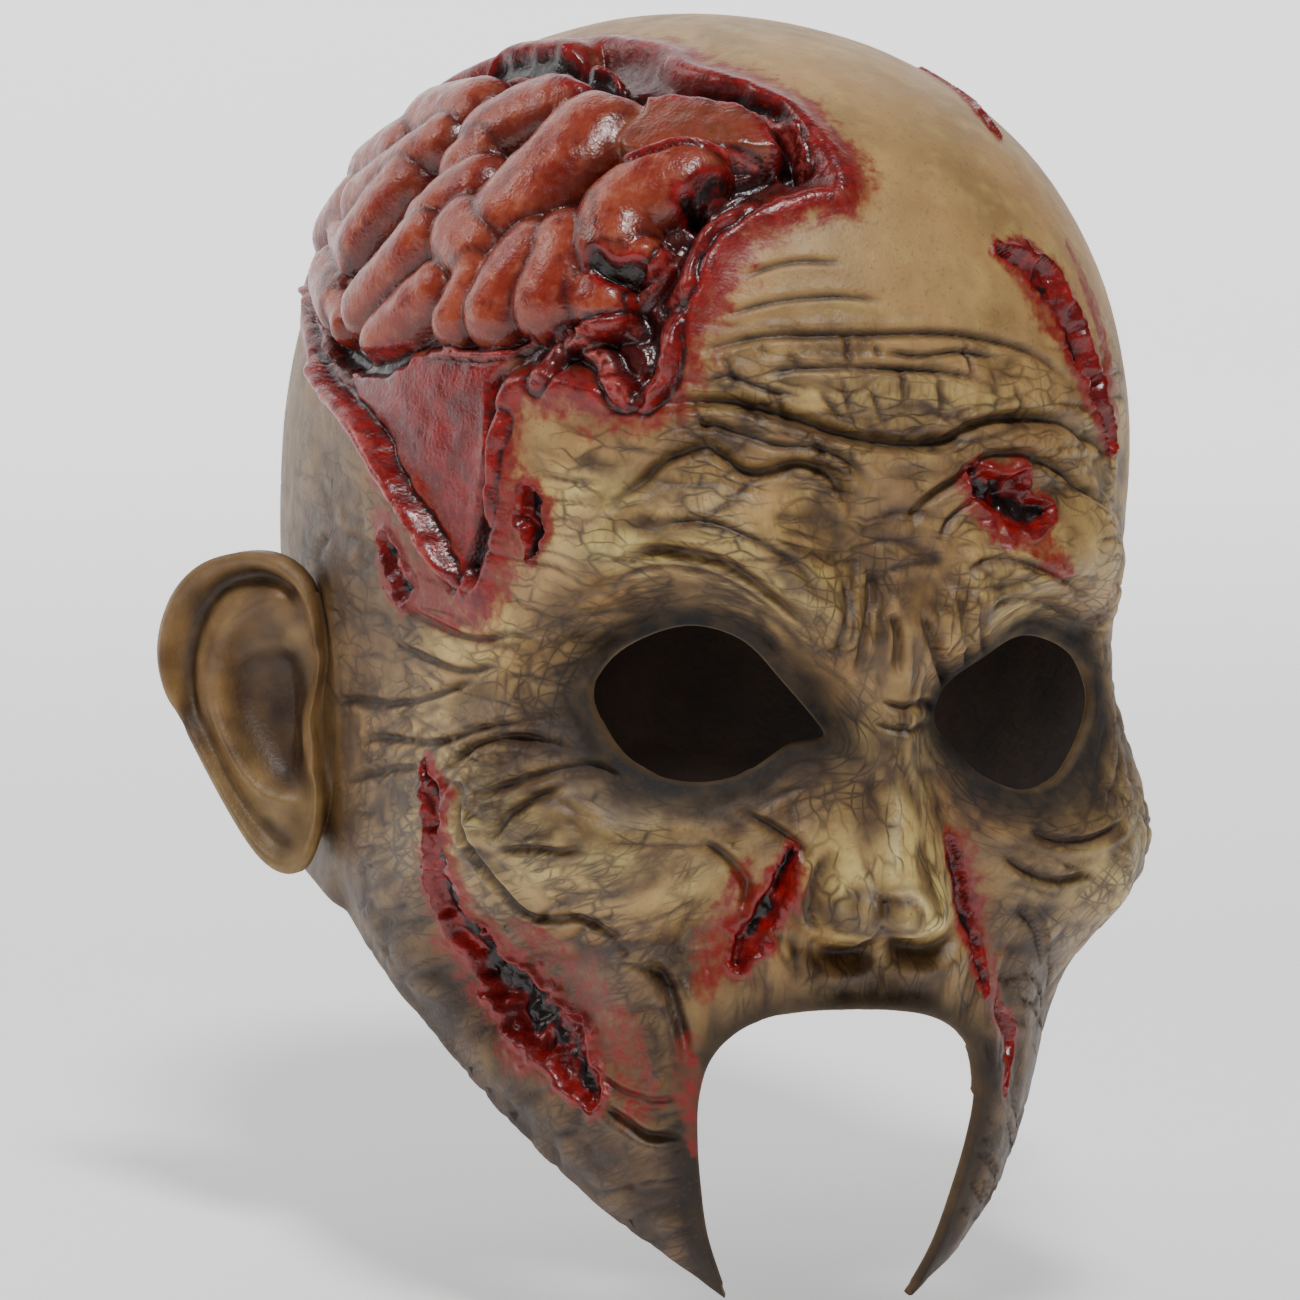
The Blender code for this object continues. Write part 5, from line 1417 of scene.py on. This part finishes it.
# Painted shade: deep red in the gaps between the lobes
paint_now = layer_over(paint_now, colour("#3f0807"), dabbed(mask("gap_shade"), 3, 0.2, 0.6, 0.7))
paint_now = layer_over(paint_now, colour("#180505"), broken("clot", 1.6, 0.5))
paint_now = layer_over(paint_now, colour("#b4504a"), dabbed(mask("pale_lip"), 1.8, 0.42, 0.6, 0.1, 0.9))
tree.links.new(paint_now, shader.inputs["Base Color"])

dry = stretch(maths("ADD", stretch(noise(5), 0.3, 0.7, 0.0, 0.4), mask("black")), 0.0, 1.0, 0.48, 0.78)
rough = add(tree, "ShaderNodeMix", {"data_type": "FLOAT"}, _0=mask("wet"), _2=dry,
            _3=stretch(noise(1.6), 0.3, 0.7, 0.20, 0.42)).outputs[0]
tree.links.new(rough, shader.inputs["Roughness"])
shader.inputs["IOR"].default_value = 1.52
shader.inputs["Subsurface Weight"].default_value = 0.0

bump = add(tree, "ShaderNodeBump", Strength=0.5, Distance=0.25 * MM, Height=noise(0.9, 1.0))
tree.links.new(bump.outputs["Normal"], shader.inputs["Normal"])
print("painted latex has", len(tree.nodes), "nodes")

# %% [markdown]
# The inside is never painted. It keeps the swirl of the pour, and is coloured a deep brown, darker than raw latex
# cures, which paints the shade seen through the openings.

# %% Bare latex
raw, tree, shader = new_material("bare_latex_darkened")
place = add(tree, "ShaderNodeTexCoord").outputs["Object"]
# Painted shade: the inside is coloured far darker than raw latex, so the openings look dark
shaded_swirl = layer_over(colour("#3a281b"), colour("#241811"), stretch(noise(18), 0.35, 0.65))
tree.links.new(shaded_swirl, shader.inputs["Base Color"])
tree.links.new(stretch(noise(8), 0.3, 0.7, 0.6, 0.75), shader.inputs["Roughness"])
shader.inputs["IOR"].default_value = 1.52
bump = add(tree, "ShaderNodeBump", Strength=0.4, Distance=0.5 * MM, Height=noise(3.0))
tree.links.new(bump.outputs["Normal"], shader.inputs["Normal"])
print("bare latex has", len(tree.nodes), "nodes")

# %% [markdown]
# ## The finished mask
# The skin is made as four meshes, scalp, face, nape, and lining with the ears, because one mesh
# of every wrinkle would be very large. They share their border points, and their normals are taken
# from the whole, so the borders can't be seen. Each carries the layers of paint at its points.

# %% Mask objects
whole = bpy.data.meshes.new("whole")
whole.from_pydata(spots.tolist(), [], faces)
normals = np.empty(len(spots) * 3)
whole.vertex_normals.foreach_get("vector", normals)
normals = normals.reshape(-1, 3)
bpy.data.meshes.remove(whole)
on_inside = np.array(on_inside)
for number, name in enumerate(("scalp_skin", "face_skin", "lining_and_ears", "nape_skin")):
    picked = np.nonzero(piece_of == number)[0]
    used = np.unique(np.concatenate([faces[k] for k in picked]))
    new_number = np.full(len(spots), -1)
    new_number[used] = np.arange(len(used))
    mesh = bpy.data.meshes.new(name)
    mesh.from_pydata(spots[used].tolist(), [], [new_number[faces[k]].tolist() for k in picked])
    mesh.materials.append(painted)
    if number == 2:
        mesh.materials.append(raw)
        mesh.polygons.foreach_set("material_index", on_inside[picked])
    mesh.polygons.foreach_set("use_smooth", [True] * len(picked))
    mesh.normals_split_custom_set_from_vertices(normals[used].tolist())
    for layer_name, values in coats.items():
        mesh.attributes.new(layer_name, "FLOAT", "POINT").data.foreach_set("value", np.float32(values[used]))
    piece = bpy.data.objects.new(name, mesh)
    bpy.context.scene.collection.objects.link(piece)
    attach(piece, "root")
    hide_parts("latex_skin")
    print(name, len(mesh.vertices), "points", sum(len(faces[k]) - 2 for k in picked), "triangles")

# %% [markdown]
# ## Floor and light
# A catalogue picture has a pale sweep that goes nearly white behind. Here the sweep glows by itself, a painted light
# that is stronger up the back than on the floor, and one soft light above and in front leaves the jaw in shade.

# %% Studio
FLOOR_DOWN = -0.2475
sweep, tree, shader = new_material("pale_paper")
shader.inputs["Base Color"].default_value = colour("#f4f4f4")
shader.inputs["Roughness"].default_value = 1.0
shader.inputs["Specular IOR Level"].default_value = 0.0
shader.inputs["Emission Color"].default_value = colour("#ffffff")
profile = [(-3.0, 0.0), (0.6, 0.0), (1.3, 0.10), (1.9, 0.42), (2.25, 1.0), (2.4, 1.8), (2.42, 3.6)]
curve = smooth_line(profile, 8)
verts = [(x, y, z + FLOOR_DOWN) for x in (-3.0, 3.0) for y, z in curve]
count = len(curve)
quads = [(k, k + 1, count + k + 1, count + k) for k in range(count - 1)]
paper = bpy.data.meshes.new("paper_sweep")
paper.from_pydata(verts, [], quads)
paper.polygons.foreach_set("use_smooth", [True] * len(quads))
paper.materials.append(sweep)
# Painted light: the paper glows by itself, weakly on the floor and strongly up the back
glow = np.tile(0.45 + 0.85 * smooth_step(curve[:, 0], 0.1, 1.5), 2)
paper.attributes.new("glow", "FLOAT", "POINT").data.foreach_set("value", np.float32(glow))
tree.links.new(mask("glow"), shader.inputs["Emission Strength"])
paper_object = bpy.data.objects.new("paper_sweep", paper)
bpy.context.scene.collection.objects.link(paper_object)
paper_object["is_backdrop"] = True


def soft_light(name, place, size, power, tint="#ffffff"):
    lamp = bpy.data.lights.new(name, "AREA")
    lamp.shape, lamp.size, lamp.energy = "DISK", size, power
    lamp.color = colour(tint)[:3]
    lamp_object = bpy.data.objects.new(name, lamp)
    lamp_object.location = place
    aim = Vector((0, -0.02, -0.12)) - Vector(place)
    lamp_object.rotation_euler = aim.to_track_quat("-Z", "Y").to_euler()
    bpy.context.scene.collection.objects.link(lamp_object)


soft_light("key", (-0.28, -0.95, 1.75), 0.45, 31)
soft_light("edge", (-1.3, 0.5, 0.9), 0.6, 5)
world = bpy.data.worlds.new("studio")
world.use_nodes = True
world.node_tree.nodes["Background"].inputs["Color"].default_value = colour("#fbfbfd")
world.node_tree.nodes["Background"].inputs["Strength"].default_value = 0.14
bpy.context.scene.world = world
print("studio lit")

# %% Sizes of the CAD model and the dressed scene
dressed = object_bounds()
for name, box in (("CAD", cad_box), ("scene", dressed)):
    print(name, [round(1000 * (high - low), 1) for low, high in zip(*box)], "mm")
